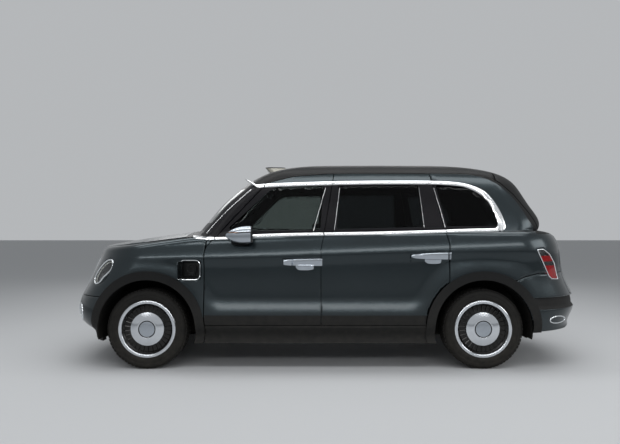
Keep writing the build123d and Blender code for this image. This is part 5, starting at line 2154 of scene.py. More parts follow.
@dataclass
class FrontEnd:
    """The grille with its vanes and surround, the lower intake and the towing cap."""

    grille: Tuple[Flat, ...] = ((-0.285, 0.690), (-0.330, 0.960), (0.330, 0.960), (0.285, 0.690))
    intake: Tuple[Flat, ...] = ((-0.380, 0.320), (-0.380, 0.470), (0.380, 0.470), (0.380, 0.320))
    vanes: int = 21

    def __post_init__(self) -> None:
        """Gather the nose's skin."""
        self.skin = Skin(
            ["front_bumper", "front_panel", "bonnet", "wing_left", "wing_right", "grille", "front_lamps"]
        )
        self.solid = Skin(["front_bumper", "front_panel", "bonnet", "wing_left", "wing_right"])

    def nose_x(self, y: float, z: float) -> float:
        """Give how far forward the nose's skin lies, eased over its slots.

        Args:
            y: Distance across the cab.
            z: Height.

        Returns:
            The skin's x in metres.
        """
        found = []
        for dy, dz in ((0, 0), (0.012, 0), (-0.012, 0), (0, 0.02), (0, -0.02), (0.019, 0), (-0.019, 0)):
            hit = self.skin.tree.ray_cast(Vector((-3, y + dy, z + dz)), Vector((1, 0, 0)))[0]
            if hit is not None:
                found.append(hit.x)
        return min(found)

    def framed(
        self, name: str, corners: Sequence[Flat], radius: float, wide: float, proud: float, finish: Finish
    ) -> None:
        """Lay a raised frame round an opening on the nose.

        Args:
            name: The frame's name.
            corners: The opening's corners, as y and z.
            radius: Their rounding.
            wide: The frame's width.
            proud: How far it stands out.
            finish: Its finish.
        """
        loop = []
        for y, z in round_corners(corners, radius, 8):
            loop.append(Vector((self.nose_x(y, z), y, z)))
        loop = evened(loop, 160, 3)
        piece_from(name, *hoop(loop, lambda p: Vector((-1, 0, 0.12)).normalized(), wide, proud), finish, "shell", 40)

    def grille_parts(self) -> None:
        """Make the grille's dark backing, its upright vanes, its bars and its surround."""
        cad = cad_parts["grille"]
        cad.data.materials.clear()
        cad.data.materials.append(GRILLE_BLACK.material())
        self.framed("grille_surround", self.grille, 0.045, 0.030, 0.012, CHROME)
        fins = Seats()
        z0, z1 = self.grille[0][1] + 0.012, self.grille[1][1] - 0.012
        for i in range(self.vanes):
            share = (i + 0.5) / self.vanes * 2 - 1
            y_low, y_high = share * 0.282, share * 0.322
            rows = 7
            for k in range(rows):
                t0, t1 = k / rows, (k + 1) / rows
                a = Vector((0, y_low + (y_high - y_low) * t0, z0 + (z1 - z0) * t0))
                b = Vector((0, y_low + (y_high - y_low) * t1, z0 + (z1 - z0) * t1))
                a.x, b.x = self.nose_x(a.y, a.z), self.nose_x(b.y, b.z)
                way = b - a
                lean_y = math.atan2(way.x, way.z)
                lean_x = -math.atan2(way.y, way.z)
                mid = (a + b) / 2
                fins.add((mid.x + 0.004, mid.y, mid.z), (lean_x, lean_y, 0), (0.020, 0.0065, way.length * 1.02))
        fins.set_out("grille_vanes", "shell", SATIN_CHROME)
        for i, z in enumerate((0.780, 0.870)):
            path = [
                (self.nose_x(y, z) - 0.003, y, z)
                for y in np.linspace(-0.300 - 0.12 * (z - 0.69), 0.300 + 0.12 * (z - 0.69), 33)
            ]
            piece_from(f"grille_bar_{i}", *tube(path, 0.005, 10), SATIN_CHROME, "shell", 40)

    def intake_parts(self) -> None:
        """Make the lower intake's frame, its mesh bars and its dark back."""
        self.framed("intake_frame", self.intake, 0.040, 0.018, 0.008, CLADDING)
        bars = Seats()
        for z in (0.350, 0.385, 0.420, 0.450):
            for y in np.linspace(-0.36, 0.36, 19)[:-1]:
                a = Vector((self.nose_x(y, 0.30), y, z))
                b = Vector((self.nose_x(y + 0.04, 0.30), y + 0.04, z))
                x = (self.solid_x(y + 0.02) + 0.035)
                bars.add(
                    (x, y + 0.02, z), (0, 0, math.atan2(b.y - a.y, b.x - a.x) - math.pi / 2), (0.016, 0.042, 0.006)
                )
        bars.set_out("intake_bars", "shell", GRILLE_BLACK)
        back = []
        for z in (0.315, 0.475):
            back.append([(self.solid_x(y) + 0.085, y, z) for y in np.linspace(-0.39, 0.39, 25)])
        rings = [
            back[0], back[1], [(x + 0.004, y, z) for x, y, z in back[1]], [(x + 0.004, y, z) for x, y, z in back[0]]
        ]
        points, faces = loft([list(r) for r in zip(*rings)])
        piece_from("intake_back", points, faces, RADIATOR, "shell", 30)

    def solid_x(self, y: float) -> float:
        """How far forward the bumper's skin lies just above the intake."""
        hit = self.solid.tree.ray_cast(Vector((-3, y, 0.49)), Vector((1, 0, 0)))[0]
        return hit.x if hit is not None else -2.4

    def small_parts(self) -> None:
        """Make the round cap over the towing thread."""
        y, z = 0.300, 0.583
        x = self.nose_x(y + 0.05, z)
        cap = turned(
            [(0.0001, -0.004), (0.019, -0.0035), (0.0215, 0.0), (0.0215, 0.012), (0.0001, 0.012)], (x + 0.004, y, z),
            40, "x"
        )
        piece_from("towing_cap", *cap, PAINT, "shell", 40)

    def build(self) -> None:
        """Make the nose's parts."""
        self.grille_parts()
        self.intake_parts()
        self.small_parts()


@dataclass
class RearEnd:
    """The oval trims, the strip with its lamps, the high brake lamp and the wiper."""

    trim_centre: Flat = (557.2, 319.4)
    trim_half: Flat = (7.4, 3.3)
    trim_lean: float = -0.20
    strip_z: float = 0.895

    def __post_init__(self) -> None:
        """Gather the tail's skin."""
        self.skin = Skin(
            ["rear_bumper", "tailgate", "rear_glass", "side_frame_left", "side_frame_right", "tail_lamps"]
        )

    def tail_x(self, y: float, z: float) -> float:
        """How far back the tail's skin lies."""
        hit = self.skin.tree.ray_cast(Vector((3.2, y, z)), Vector((-1, 0, 0)))[0]
        return hit.x if hit is not None else 2.3

    def oval_trims(self) -> None:
        """Lay the two oval trims at the bumper's corners, traced on the photograph."""
        loop = []
        cx, cy = self.trim_centre
        for k in range(64):
            a = 2 * math.pi * k / 64
            u, v = self.trim_half[0] * math.cos(a), self.trim_half[1] * math.sin(a)
            px = cx + u * math.cos(self.trim_lean) - v * math.sin(self.trim_lean)
            py = cy + u * math.sin(self.trim_lean) + v * math.cos(self.trim_lean)
            hit = self.skin.tree.ray_cast(Vector(VIEW.place), VIEW.ray(px, py))[0]
            if hit is not None:
                loop.append(hit)
        loop = evened(loop, 96, 3)
        mid = sum(loop, Vector()) / len(loop)
        way = Vector((mid.x - 1.75, mid.y, 0)).normalized()
        ring_points, ring_faces = hoop(loop, lambda p: way, 0.012, 0.008)
        piece_from("exhaust_trim_left", ring_points, ring_faces, CHROME, "shell", 40)
        piece_from("exhaust_trim_right", mirrored(ring_points), ring_faces, CHROME, "shell", 40)
        rings = []
        for share, sink in ((0.97, -0.002), (0.86, 0.006), (0.05, 0.008)):
            rings.append([tuple(mid + (p - mid) * share - way * sink) for p in loop])
        rings.append([tuple(mid + (p - mid) * 0.05 - way * 0.016) for p in loop])
        rings.append([tuple(mid + (p - mid) * 0.97 - way * 0.010) for p in loop])
        points, faces = loft(rings, caps=False, loop=True)
        piece_from("exhaust_dark_left", points, faces, GRILLE_BLACK, "shell", 40)
        piece_from("exhaust_dark_right", mirrored(points), faces, GRILLE_BLACK, "shell", 40)

    def strip(self) -> None:
        """Make the bright strip over the tailgate's recess, with its two lamps."""
        strip_z = self.strip_z
        rings = []
        for y in np.linspace(-0.330, 0.330, 41):
            x = self.tail_x(y, strip_z)
            fat = 0.6 + 0.4 * math.sqrt(max(0.0, 1 - (abs(y) / 0.335) ** 6))
            rings.append([
                (x - 0.010, y, strip_z - 0.020 * fat), (
                    x + 0.020 * fat, y, strip_z - 0.018 * fat
                ), (x + 0.026 * fat, y, strip_z - 0.006),
                (
                    x + 0.022 * fat, y, strip_z + 0.008 * fat
                ), (x + 0.004, y, strip_z + 0.020 * fat), (x - 0.010, y, strip_z + 0.020 * fat),
            ])
        piece_from("tailgate_strip", *loft(rings), CHROME, "tailgate_lid", 40)
        lamps = Seats()
        for y in (-0.13, 0.13):
            lamps.add((self.tail_x(y, strip_z) + 0.012, y, strip_z - 0.021), (0, 0, 0), (0.014, 0.040, 0.005))
        lamps.set_out("strip_lamps", "tailgate_lid", SIGN_WHITE)

    def high_lamp(self) -> None:
        """Make the brake lamp at the top of the tailgate and the wiper."""
        z = 1.700
        rings = []
        for y in np.linspace(-0.170, 0.170, 25):
            x = self.tail_x(y, z)
            rings.append([
                (x - 0.012, y, z - 0.011), (x + 0.004, y, z - 0.010), (x + 0.0065, y, z),
                (x + 0.004, y, z + 0.010), (x - 0.012, y, z + 0.011),
            ])
        piece_from("high_brake_lamp", *loft(rings), RED_LENS, "tailgate_lid", 40)
        path = []
        for t in np.linspace(0, 1, 16):
            y = 0.05 - 0.36 * t
            z = 1.245 + 0.055 * math.sin(t * 1.4)
            path.append((self.tail_x(y, z) + 0.018, y, z))
        piece_from("rear_wiper_arm", *tube(path, 0.006, 10), BLACK_PLASTIC, "tailgate_lid", 40)
        blade = [
            (self.tail_x(y, 1.290 + 0.01 * math.cos(y * 4)) + 0.008, y, 1.290 + 0.01 * math.cos(y * 4))
            for y in np.linspace(-0.44, -0.14, 14)
        ]
        piece_from("rear_wiper_blade", *tube(blade, 0.005, 8), BLACK_PLASTIC, "tailgate_lid", 40)
        hub = turned(
            [(0.0001, 0.024), (0.014, 0.022), (0.018, 0.014), (0.018, -0.010), (0.0001, -0.010)],
            (self.tail_x(0.05, 1.245), 0.05, 1.245), 32, "x"
        )
        piece_from("rear_wiper_hub", *hub, BLACK_PLASTIC, "tailgate_lid", 40)

    def build(self) -> None:
        """Make the tail's parts."""
        self.oval_trims()
        self.strip()
        self.high_lamp()


@dataclass
class RoofSign:
    """The blank roof sign: a forward-leaning opal lens under a thin black cap."""

    half: float = 0.278
    front_top: float = -0.590
    front_low: float = -0.512
    rear_x: float = -0.384
    top_z: float = 1.8655
    cap: float = 0.009

    def outline(self, share: float) -> List[Flat]:
        """Give the sign's plan outline.

        Args:
            share: The outline's size against that of the foot.

        Returns:
            Its points, as x and y.
        """
        front = self.front_low + (self.front_top - self.front_low) * share
        half = self.half * (0.955 + 0.045 * share)
        back = self.rear_x - 0.010 * share
        return round_corners(
            [
                (front, -half * 0.93), (front + 0.045, -half), (back, -half * 0.90), (back, half * 0.90),
                (front + 0.045, half), (front, half * 0.93)
            ],
            0.030, 6
        )

    def build(self) -> None:
        """Make the lens and its cap."""
        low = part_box("roof_sign")[0].z
        top = self.top_z - self.cap
        rings = []
        for k in range(9):
            share = k / 8
            z = low + 0.004 + (top - low - 0.004) * share
            rings.append([(x, y, z) for x, y in self.outline(share)])
        points, faces = loft(rings)
        lens = piece_from("roof_sign_lens", points, faces, SIGN_WHITE, "shell", 40)
        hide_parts("roof_sign")
        rings = []
        for rise, grow in ((0.0, 1.000), (0.0012, 1.012), (0.006, 1.014), (self.cap, 0.985)):
            rings.append([(-0.487 + (x + 0.487) * grow, y * grow, top + rise) for x, y in self.outline(1.0)])
        piece_from("roof_sign_cap", *loft(rings), PILLAR_BLACK, "shell", 40)
        base = []
        for rise, grow in ((0.0, 1.05), (0.014, 1.03)):
            base.append([(-0.47 + (x + 0.47) * grow, y * grow, low - 0.003 + rise) for x, y in self.outline(0.0)])
        piece_from("roof_sign_foot", *loft(base), PILLAR_BLACK, "shell", 40)


@dataclass
class Pad:
    """A stuffed piece: a crowned form that is blown up by cloth simulation and sewn into flutes."""

    name: str
    low: Point
    high: Point
    lean: float = 0.0
    crown: float = 0.018
    power: float = 3.2
    flutes: int = 0
    cap: float = 0.012
    finish: Finish = SEAT_CLOTH

    def form(self) -> Tuple:
        """Give the crowned form as a rounded box with sides that pull in between its corners.

        Returns:
            Points and faces.
        """
        centre = [(a + b) / 2 for a, b in zip(self.low, self.high)]
        half = [(b - a) / 2 for a, b in zip(self.low, self.high)]
        rings = []
        rows, columns = 18, 40
        for i in range(rows + 1):
            t = -math.pi / 2 + math.pi * i / rows
            st, ct = math.sin(t), math.cos(t)
            level = math.copysign(abs(st) ** (2 / self.power), st)
            width = abs(ct) ** (2 / (self.power * 1.6)) if abs(ct) > 1e-9 else 0.0
            ring = []
            for k in range(columns):
                a = 2 * math.pi * k / columns
                c, s = math.cos(a), math.sin(a)
                u = math.copysign(abs(c) ** (2 / (self.power * 1.9)), c) * max(width, 0.02)
                v = math.copysign(abs(s) ** (2 / (self.power * 1.9)), s) * max(width, 0.02)
                pull = (
                    1 - 0.03 * (1 - min(1, abs(u) ** 4)) * abs(v) ** 6
                    - 0.03 * (1 - min(1, abs(v) ** 4)) * abs(u) ** 6
                )
                ring.append((u * pull, v * pull, level))
            rings.append(ring)
        points, faces = loft(rings)
        thin = min(range(3), key=lambda i: half[i])
        order = {0: (2, 0, 1), 1: (0, 2, 1), 2: (0, 1, 2)}[thin]
        out = []
        for p in points:
            q = [p[order[0]], p[order[1]], p[order[2]]]
            spot = [centre[i] + q[i] * (half[i] - (0.010 if i != thin else 0.004)) for i in range(3)]
            spot[0] += self.lean * (spot[2] - self.low[2])
            out.append(tuple(spot))
        return out, faces

    def puffed(self, mesh: bpy.types.Mesh) -> bpy.types.Mesh:
        """Blow the form up by cloth simulation, with each point's travel capped.

        Args:
            mesh: The form.

        Returns:
            The stuffed form.
        """
        holder = bpy.data.objects.new(f"{self.name}_soft", mesh)
        bpy.context.scene.collection.objects.link(holder)
        cloth = holder.modifiers.new("cloth", "CLOTH")
        cloth.settings.use_pressure = True
        cloth.settings.uniform_pressure_force = 4.0
        cloth.settings.effector_weights.gravity = 0
        cloth.point_cache.frame_start = 1
        cloth.point_cache.frame_end = 9
        cloth.settings.quality = 3
        scene = bpy.context.scene
        for number in range(1, 10):
            scene.frame_set(number)
        graph = bpy.context.evaluated_depsgraph_get()
        soft = bpy.data.meshes.new_from_object(holder.evaluated_get(graph), depsgraph=graph)
        start = np.array([tuple(v.co) for v in mesh.vertices])
        moved = np.array([tuple(v.co) for v in soft.vertices])
        travel = moved - start
        length = np.linalg.norm(travel, axis=1, keepdims=True)
        keep = np.minimum(1.0, self.cap / np.maximum(length, 1e-9))
        soft.vertices.foreach_set("co", (start + travel * keep).ravel())
        soft.update()
        bpy.data.objects.remove(holder)
        scene.frame_set(1)
        return soft

    def finer(self, mesh: bpy.types.Mesh) -> bpy.types.Mesh:
        """Divide the mesh once, smoothly.

        Args:
            mesh: The coarse mesh.

        Returns:
            The divided mesh.
        """
        holder = bpy.data.objects.new(f"{self.name}_fine", mesh)
        bpy.context.scene.collection.objects.link(holder)
        holder.modifiers.new("finer", "SUBSURF").levels = 1
        graph = bpy.context.evaluated_depsgraph_get()
        fine = bpy.data.meshes.new_from_object(holder.evaluated_get(graph), depsgraph=graph)
        bpy.data.objects.remove(holder)
        return fine

    def build(self, body: str = "shell") -> bpy.types.Object:
        """Make the pad.

        Args:
            body: The body it rides on.

        Returns:
            The pad.
        """
        points, faces = self.form()
        mesh = bpy.data.meshes.new(self.name)
        mesh.from_pydata(points, [], faces)
        outward(mesh)
        mesh = self.puffed(mesh)
        mesh = self.finer(mesh)
        if self.flutes:
            self.flute(mesh)
        pad = place(mesh, self.name, body, [self.finish], 60)
        return pad

    def flute(self, mesh: bpy.types.Mesh) -> None:
        """Press sewn channels into the pad's face.

        Args:
            mesh: The pad's mesh, changed in place.
        """
        size = [b - a for a, b in zip(self.low, self.high)]
        thin = min(range(3), key=lambda i: size[i])
        middle = (self.low[thin] + self.high[thin]) / 2
        width = size[1]
        for v in mesh.vertices:
            share = (v.co.y - self.low[1]) / width
            if not 0.14 < share < 0.86:
                continue
            wave = abs(math.sin(math.pi * (share - 0.14) / 0.72 * self.flutes)) ** 0.5
            depth = 0.006 * (1 - wave)
            centre = middle + (self.lean * (v.co.z - self.low[2]) if thin == 0 else 0)
            v.co[thin] -= math.copysign(depth, v.co[thin] - centre)


@dataclass
class Cabin:
    """Dashboard, steering wheel, seats, partition, door furniture and the cabin mirror."""

    driver_y: float = 0.370
    wheel_at: Point = (-0.790, 0.370, 1.000)
    wheel_r: float = 0.188

    def dashboard(self) -> None:
        """Make the dashboard: a moulded body with an instrument hood, and its blank displays."""
        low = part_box("dashboard")[0]
        rings = []
        for y in np.linspace(-0.688, 0.688, 85):
            hood = math.exp(-(((y - self.driver_y) / 0.19) ** 4))
            centre = math.exp(-((y / 0.16) ** 4))
            edge = 1 - 0.10 * smooth_step(0.60, 0.69, abs(y))
            front = low.x + 0.004
            top = 1.055 * edge + 0.048 * hood
            face = -0.955 + 0.030 * hood + 0.018 * centre
            rings.append([
                (front, y, 0.86), (front, y, top - 0.020), (front + 0.05, y, top), (face - 0.075, y, top + 0.002),
                (face - 0.020, y, top - 0.010), (face - 0.004, y, top - 0.030), (
                    face - 0.012 - 0.020 * hood, y, top - 0.052
                ),
                (face - 0.030 * (1 - centre), y, 0.955), (face + 0.006, y, 0.925), (face + 0.010, y, 0.900),
                (face - 0.020 * (1 - centre), y, 0.865), (face - 0.075 + 0.05 * centre, y, 0.800 - 0.03 * centre),
                (face - 0.14, y, 0.760), (front + 0.03, y, 0.775),
            ])
        points, faces = loft(rings)
        board = piece_from("dashboard_moulding", points, faces, DASH_SKIN, "shell", 42)
        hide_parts("dashboard")
        for name, y0, y1, z0, z1, x in (
            ("instrument_display", self.driver_y - 0.125, self.driver_y + 0.125, 0.985, 1.055, -0.936),
            ("centre_display", -0.085, 0.085, 0.905, 1.010, -0.930),
        ):
            outline = round_corners([(y0, z0), (y1, z0), (y1, z1), (y0, z1)], 0.012, 4)
            rings = [
                [(x + rise - 0.10 * (z - z0), y * 1.0 + (y - (y0 + y1) / 2) * grow, z) for y, z in outline] for rise,
                grow in ((0.0, 0.0), (0.008, 0.0), (0.010, -0.03), (0.009, -0.05))
            ]
            piece_from(name, *loft(rings), PILLAR_BLACK, "shell", 30)
        vents = Seats()
        for y0 in (-0.60, -0.17, 0.12, 0.565):
            for k in range(6):
                vents.add((-0.948, y0 + 0.025, 0.985 + 0.0085 * k - 0.01), (0, 0.5, 0), (0.018, 0.085, 0.0018))
        vents.set_out("dashboard_vents", "shell", BLACK_PLASTIC)
        frames = []
        for y0 in (-0.60, -0.17, 0.12, 0.565):
            loop = [
                Vector((-0.944, y, z)) for y,
                z in round_corners(
                    [(y0 - 0.022, 0.968), (y0 + 0.072, 0.968), (y0 + 0.072, 1.022), (y0 - 0.022, 1.022)], 0.012, 4
                )
            ]
            frames.append(hoop(evened(loop, 60, 1), lambda p: Vector((1, 0, 0)), 0.005, 0.004))
        piece_from("dashboard_vent_frames", *joined(*frames), SATIN_CHROME, "shell", 40)

    def steering(self) -> None:
        """Make the steering wheel: rim, three spokes, pad, column shroud and stalks."""
        axis = Vector((1, 0, 0.45)).normalized()
        across = Vector((0, 1, 0))
        up = axis.cross(across).normalized()
        if up.z < 0:
            up = -up
        centre = Vector(self.wheel_at)

        def spot(u: float, v: float, w: float) -> Vector:
            """A point in the wheel's own frame: across, up and towards the driver."""
            return centre + across * u + up * v + axis * w

        rings = []
        for k in range(96):
            a = 2 * math.pi * k / 96
            grip = 1 + 0.12 * (math.exp(-((math.sin(a) - 0.45) / 0.22) ** 2) if abs(math.cos(a)) > 0.5 else 0)
            ring = []
            for j in range(16):
                b = 2 * math.pi * j / 16
                r = self.wheel_r + 0.0135 * grip * math.cos(b)
                ring.append(tuple(spot(r * math.cos(a), r * math.sin(a), 0.0165 * grip * math.sin(b))))
            rings.append(ring)
        rim = piece_from("steering_rim", *loft(rings, caps=False, loop=True), SEAT_CLOTH, "shell", 60)
        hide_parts("steering_wheel")
        for i, (angle, reach, wide) in enumerate(((8, 0.178, 0.034), (172, 0.178, 0.034), (270, 0.178, 0.040))):
            a = math.radians(angle)
            along, side = Vector((math.cos(a), math.sin(a), 0)), Vector((-math.sin(a), math.cos(a), 0))
            rings = []
            for t in np.linspace(0, 1, 12):
                r = 0.050 + (reach - 0.050) * t
                half = wide / 2 * (1.25 - 0.55 * math.sin(math.pi * t))
                sink = -0.016 + 0.016 * t
                ring = []
                for k in range(12):
                    b = 2 * math.pi * k / 12
                    p = along * r + side * (half * math.cos(b))
                    ring.append(tuple(spot(p.x, p.y, sink + 0.0065 * math.sin(b))))
                rings.append(ring)
            piece_from(f"steering_spoke_{i}", *loft(rings), SATIN_CHROME, "shell", 50)
        rings = []
        for share, rise in (
            (0.05, 0.018), (0.45, 0.0175), (0.75, 0.014), (0.93, 0.006), (1.0, -0.006), (0.98, -0.022), (0.6, -0.040),
            (0.05, -0.042)
        ):
            ring = []
            for k in range(40):
                a = 2 * math.pi * k / 40
                c, s = math.cos(a), math.sin(a)
                u = 0.086 * math.copysign(abs(c) ** 0.7, c) * share
                v = 0.066 * math.copysign(abs(s) ** 0.7, s) * share * (1.0 if s > 0 else 1.1)
                ring.append(tuple(spot(u, v, rise)))
            rings.append(ring)
        piece_from("steering_pad", *loft(rings), DASH_SKIN, "shell", 50)
        rings = []
        for t in np.linspace(0, 1, 10):
            ring = []
            for k in range(32):
                a = 2 * math.pi * k / 32
                c, s = math.cos(a), math.sin(a)
                ring.append(
                    tuple(spot((0.052 + 0.006 * t) * c, (0.046 + 0.012 * t) * s - 0.006 * t, -0.040 - 0.150 * t))
                )
            rings.append(ring)
        piece_from("steering_shroud", *loft(rings), BLACK_PLASTIC, "shell", 50)
        for side in (-1, 1):
            path = [
                spot(side * 0.045, 0.01, -0.070), spot(side * 0.090, 0.018, -0.068), spot(side * 0.150, 0.028, -0.060)
            ]
            piece_from(
                f"steering_stalk_{'left' if side < 0 else 'right'}", *tube(spline(path, 12), 0.0075, 12),
                BLACK_PLASTIC, "shell", 50
            )

    def seats(self) -> None:
        """Make the driver's seat and the passengers' bench."""
        y = self.driver_y
        first = Pad("driver_cushion", (-0.585, y - 0.245, 0.450), (-0.085, y + 0.245, 0.585), flutes=5).build()
        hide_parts("driver_seat")
        Pad("driver_back", (-0.170, y - 0.235, 0.560), (-0.040, y + 0.235, 1.125), flutes=5, lean=0.03).build()
        Pad("driver_headrest", (-0.128, y - 0.135, 1.140), (-0.040, y + 0.135, 1.325), power=2.6).build()
        for side in (-1, 1):
            Pad(
                f"driver_bolster_{'inner' if side < 0 else 'outer'}", (-0.195, y + side * 0.205 - 0.035, 0.60),
                (-0.070, y + side * 0.205 + 0.035, 1.02), lean=0.03, power=2.4,
            ).build()
            piece_from(
                f"headrest_post_{'inner' if side < 0 else 'outer'}",
                *tube(
                    [(-0.085, y + side * 0.06, 1.09), (-0.082, y + side * 0.06, 1.19)], 0.007, 12
                ), SATIN_CHROME, "shell", 50,
            )
        base = round_corners([(-0.52, y - 0.19), (-0.12, y - 0.19), (-0.12, y + 0.19), (-0.52, y + 0.19)], 0.05, 5)
        floor_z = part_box("driver_seat")[0].z
        rings = [
            [(cx + (px - cx) * grow, y + (py - y) * grow, z) for px, py in base] for cx in (-0.32,) for z,
            grow in ((floor_z, 1.0), (floor_z + 0.02, 0.98), (0.40, 0.86), (0.455, 0.98))
        ]
        piece_from("driver_seat_base", *loft(rings), BLACK_PLASTIC, "shell", 40)
        bench = None
        for i, (y0, y1) in enumerate(((-0.580, -0.196), (-0.192, 0.192), (0.196, 0.580))):
            cushion = Pad(
                f"bench_cushion_{i}", (0.745, y0, 0.535), (1.215, y1, 0.668), flutes=4, finish=BENCH_CLOTH
            ).build()
            bench = bench or cushion
            Pad(
                f"bench_back_{i}", (1.175, y0, 0.655), (1.290, y1, 1.185), flutes=4, lean=0.02, finish=BENCH_CLOTH
            ).build()
            Pad(
                f"bench_headrest_{i}", (1.205, (y0 + y1) / 2 - 0.11, 1.195), (1.290, (y0 + y1) / 2 + 0.11, 1.330),
                power=2.6, finish=BENCH_CLOTH
            ).build()
        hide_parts("rear_bench")
        rings = []
        floor_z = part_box("rear_bench")[0].z
        for y in np.linspace(-0.575, 0.575, 25):
            rings.append(
                [(0.815, y, floor_z), (0.800, y, 0.42), (0.770, y, 0.545), (1.180, y, 0.545), (1.180, y, floor_z)]
            )
        piece_from("bench_plinth", *loft(rings), CARPET, "shell", 30)

    def partition(self) -> None:
        """Dress the partition and glaze it."""
        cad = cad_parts["partition"]
        cad.data.materials.clear()
        cad.data.materials.append(DOOR_TRIM.material())
        outline = round_corners([(-0.536, 0.964), (0.536, 0.964), (0.536, 1.576), (-0.536, 1.576)], 0.03, 5)
        rings = [[(x, y, z) for y, z in outline] for x in (0.0755, 0.0805)]
        piece_from("partition_screen", *loft(rings), WINDOW, "shell", 30)
        loop = evened([Vector((0.066, y, z)) for y, z in outline], 160, 1)
        piece_from(
            "partition_seal_front", *hoop(loop, lambda p: Vector((-1, 0, 0)), 0.016, 0.006), BLACK_PLASTIC, "shell",
            40
        )
        loop = evened([Vector((0.090, y, z)) for y, z in outline], 160, 1)
        piece_from(
            "partition_seal_rear", *hoop(loop, lambda p: Vector((1, 0, 0)), 0.016, 0.006), BLACK_PLASTIC, "shell", 40
        )
        rail = [(0.100, y, 1.100 + 0.004 * math.cos(y * 3)) for y in np.linspace(-0.48, 0.48, 21)]
        rail = [(0.092, -0.50, 1.10)] + rail + [(0.092, 0.50, 1.10)]
        piece_from("partition_grab_rail", *tube(spline(rail, 50), 0.0125, 14), GRAB_YELLOW, "shell", 50)

    def door_furniture(self) -> None:
        """Make each door's armrest and pull."""
        for side, sign in (("left", -1), ("right", 1)):
            for end, x0, x1 in (("front", -0.86, -0.30), ("rear", 0.18, 0.74)):
                body = f"{end}_{side}_door"
                rings = []
                for t in np.linspace(0, 1, 25):
                    x = x0 + (x1 - x0) * t
                    fat = math.sin(math.pi * min(1.0, max(0.0, 0.06 + 0.88 * t))) ** 0.45
                    z = 0.860 + 0.030 * t
                    wall = 0.848
                    out = wall - 0.052 * fat
                    rings.append([
                        (x, sign * wall, z - 0.045 * fat), (
                            x, sign * (out + 0.012), z - 0.040 * fat
                        ), (x, sign * out, z - 0.020 * fat),
                        (x, sign * out, z + 0.010 * fat), (
                            x, sign * (out + 0.010), z + 0.020 * fat
                        ), (x, sign * wall, z + 0.022 * fat),
                    ])
                piece_from(f"armrest_{end}_{side}", *loft(rings), DASH_SKIN, body, 40)
                pull = [
                    (x0 + 0.10, sign * 0.842, 0.985), (x0 + 0.13, sign * 0.806, 0.992),
                    (x0 + 0.24, sign * 0.804, 1.000), (x0 + 0.27, sign * 0.842, 1.000)
                ]
                piece_from(
                    f"door_pull_{end}_{side}", *tube(spline(pull, 26), 0.008, 12), GRAB_YELLOW if end == "rear"
                    else SATIN_CHROME, body, 50
                )

    def build(self) -> None:
        """Make the cabin."""
        self.dashboard()
        self.steering()
        self.seats()
        self.partition()
        self.door_furniture()
        mirror = []
        for share, rise in ((0.05, -0.004), (0.9, -0.004), (1.0, 0.002), (0.95, 0.016), (0.4, 0.024), (0.05, 0.024)):
            mirror.append([
                (
                    -0.560 - rise, 0.125 * share * math.copysign(abs(math.cos(a)) ** 0.6, math.cos(a)),
                    1.600 + 0.034 * share * math.copysign(abs(math.sin(a)) ** 0.6, math.sin(a))
                )
                for a in (2 * math.pi * k / 40 for k in range(40))
            ])
        points, faces = loft(mirror)
        piece_from("cabin_mirror", points, faces, BLACK_PLASTIC, "shell", 40)
        piece_from(
            "cabin_mirror_stem", *tube([(-0.585, 0, 1.61), (-0.615, 0, 1.650), (-0.640, 0, 1.700)], 0.008, 10),
            BLACK_PLASTIC, "shell", 40
        )


def redress(node: str, finishes: Sequence[Finish], zone: Optional[Callable[[Vector, Vector], int]] = None) -> None:
    """Give a CAD node that stays its own finishes by face.

    Args:
        node: The CAD node.
        finishes: The finishes by number.
        zone: Gives the finish's number from a face's centre and normal.
    """
    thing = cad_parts[node]
    thing.data.materials.clear()
    for finish in finishes:
        thing.data.materials.append(finish.material())
    if zone and len(finishes) > 1:
        thing.data.polygons.foreach_set("material_index", [zone(p.center, p.normal) for p in thing.data.polygons])


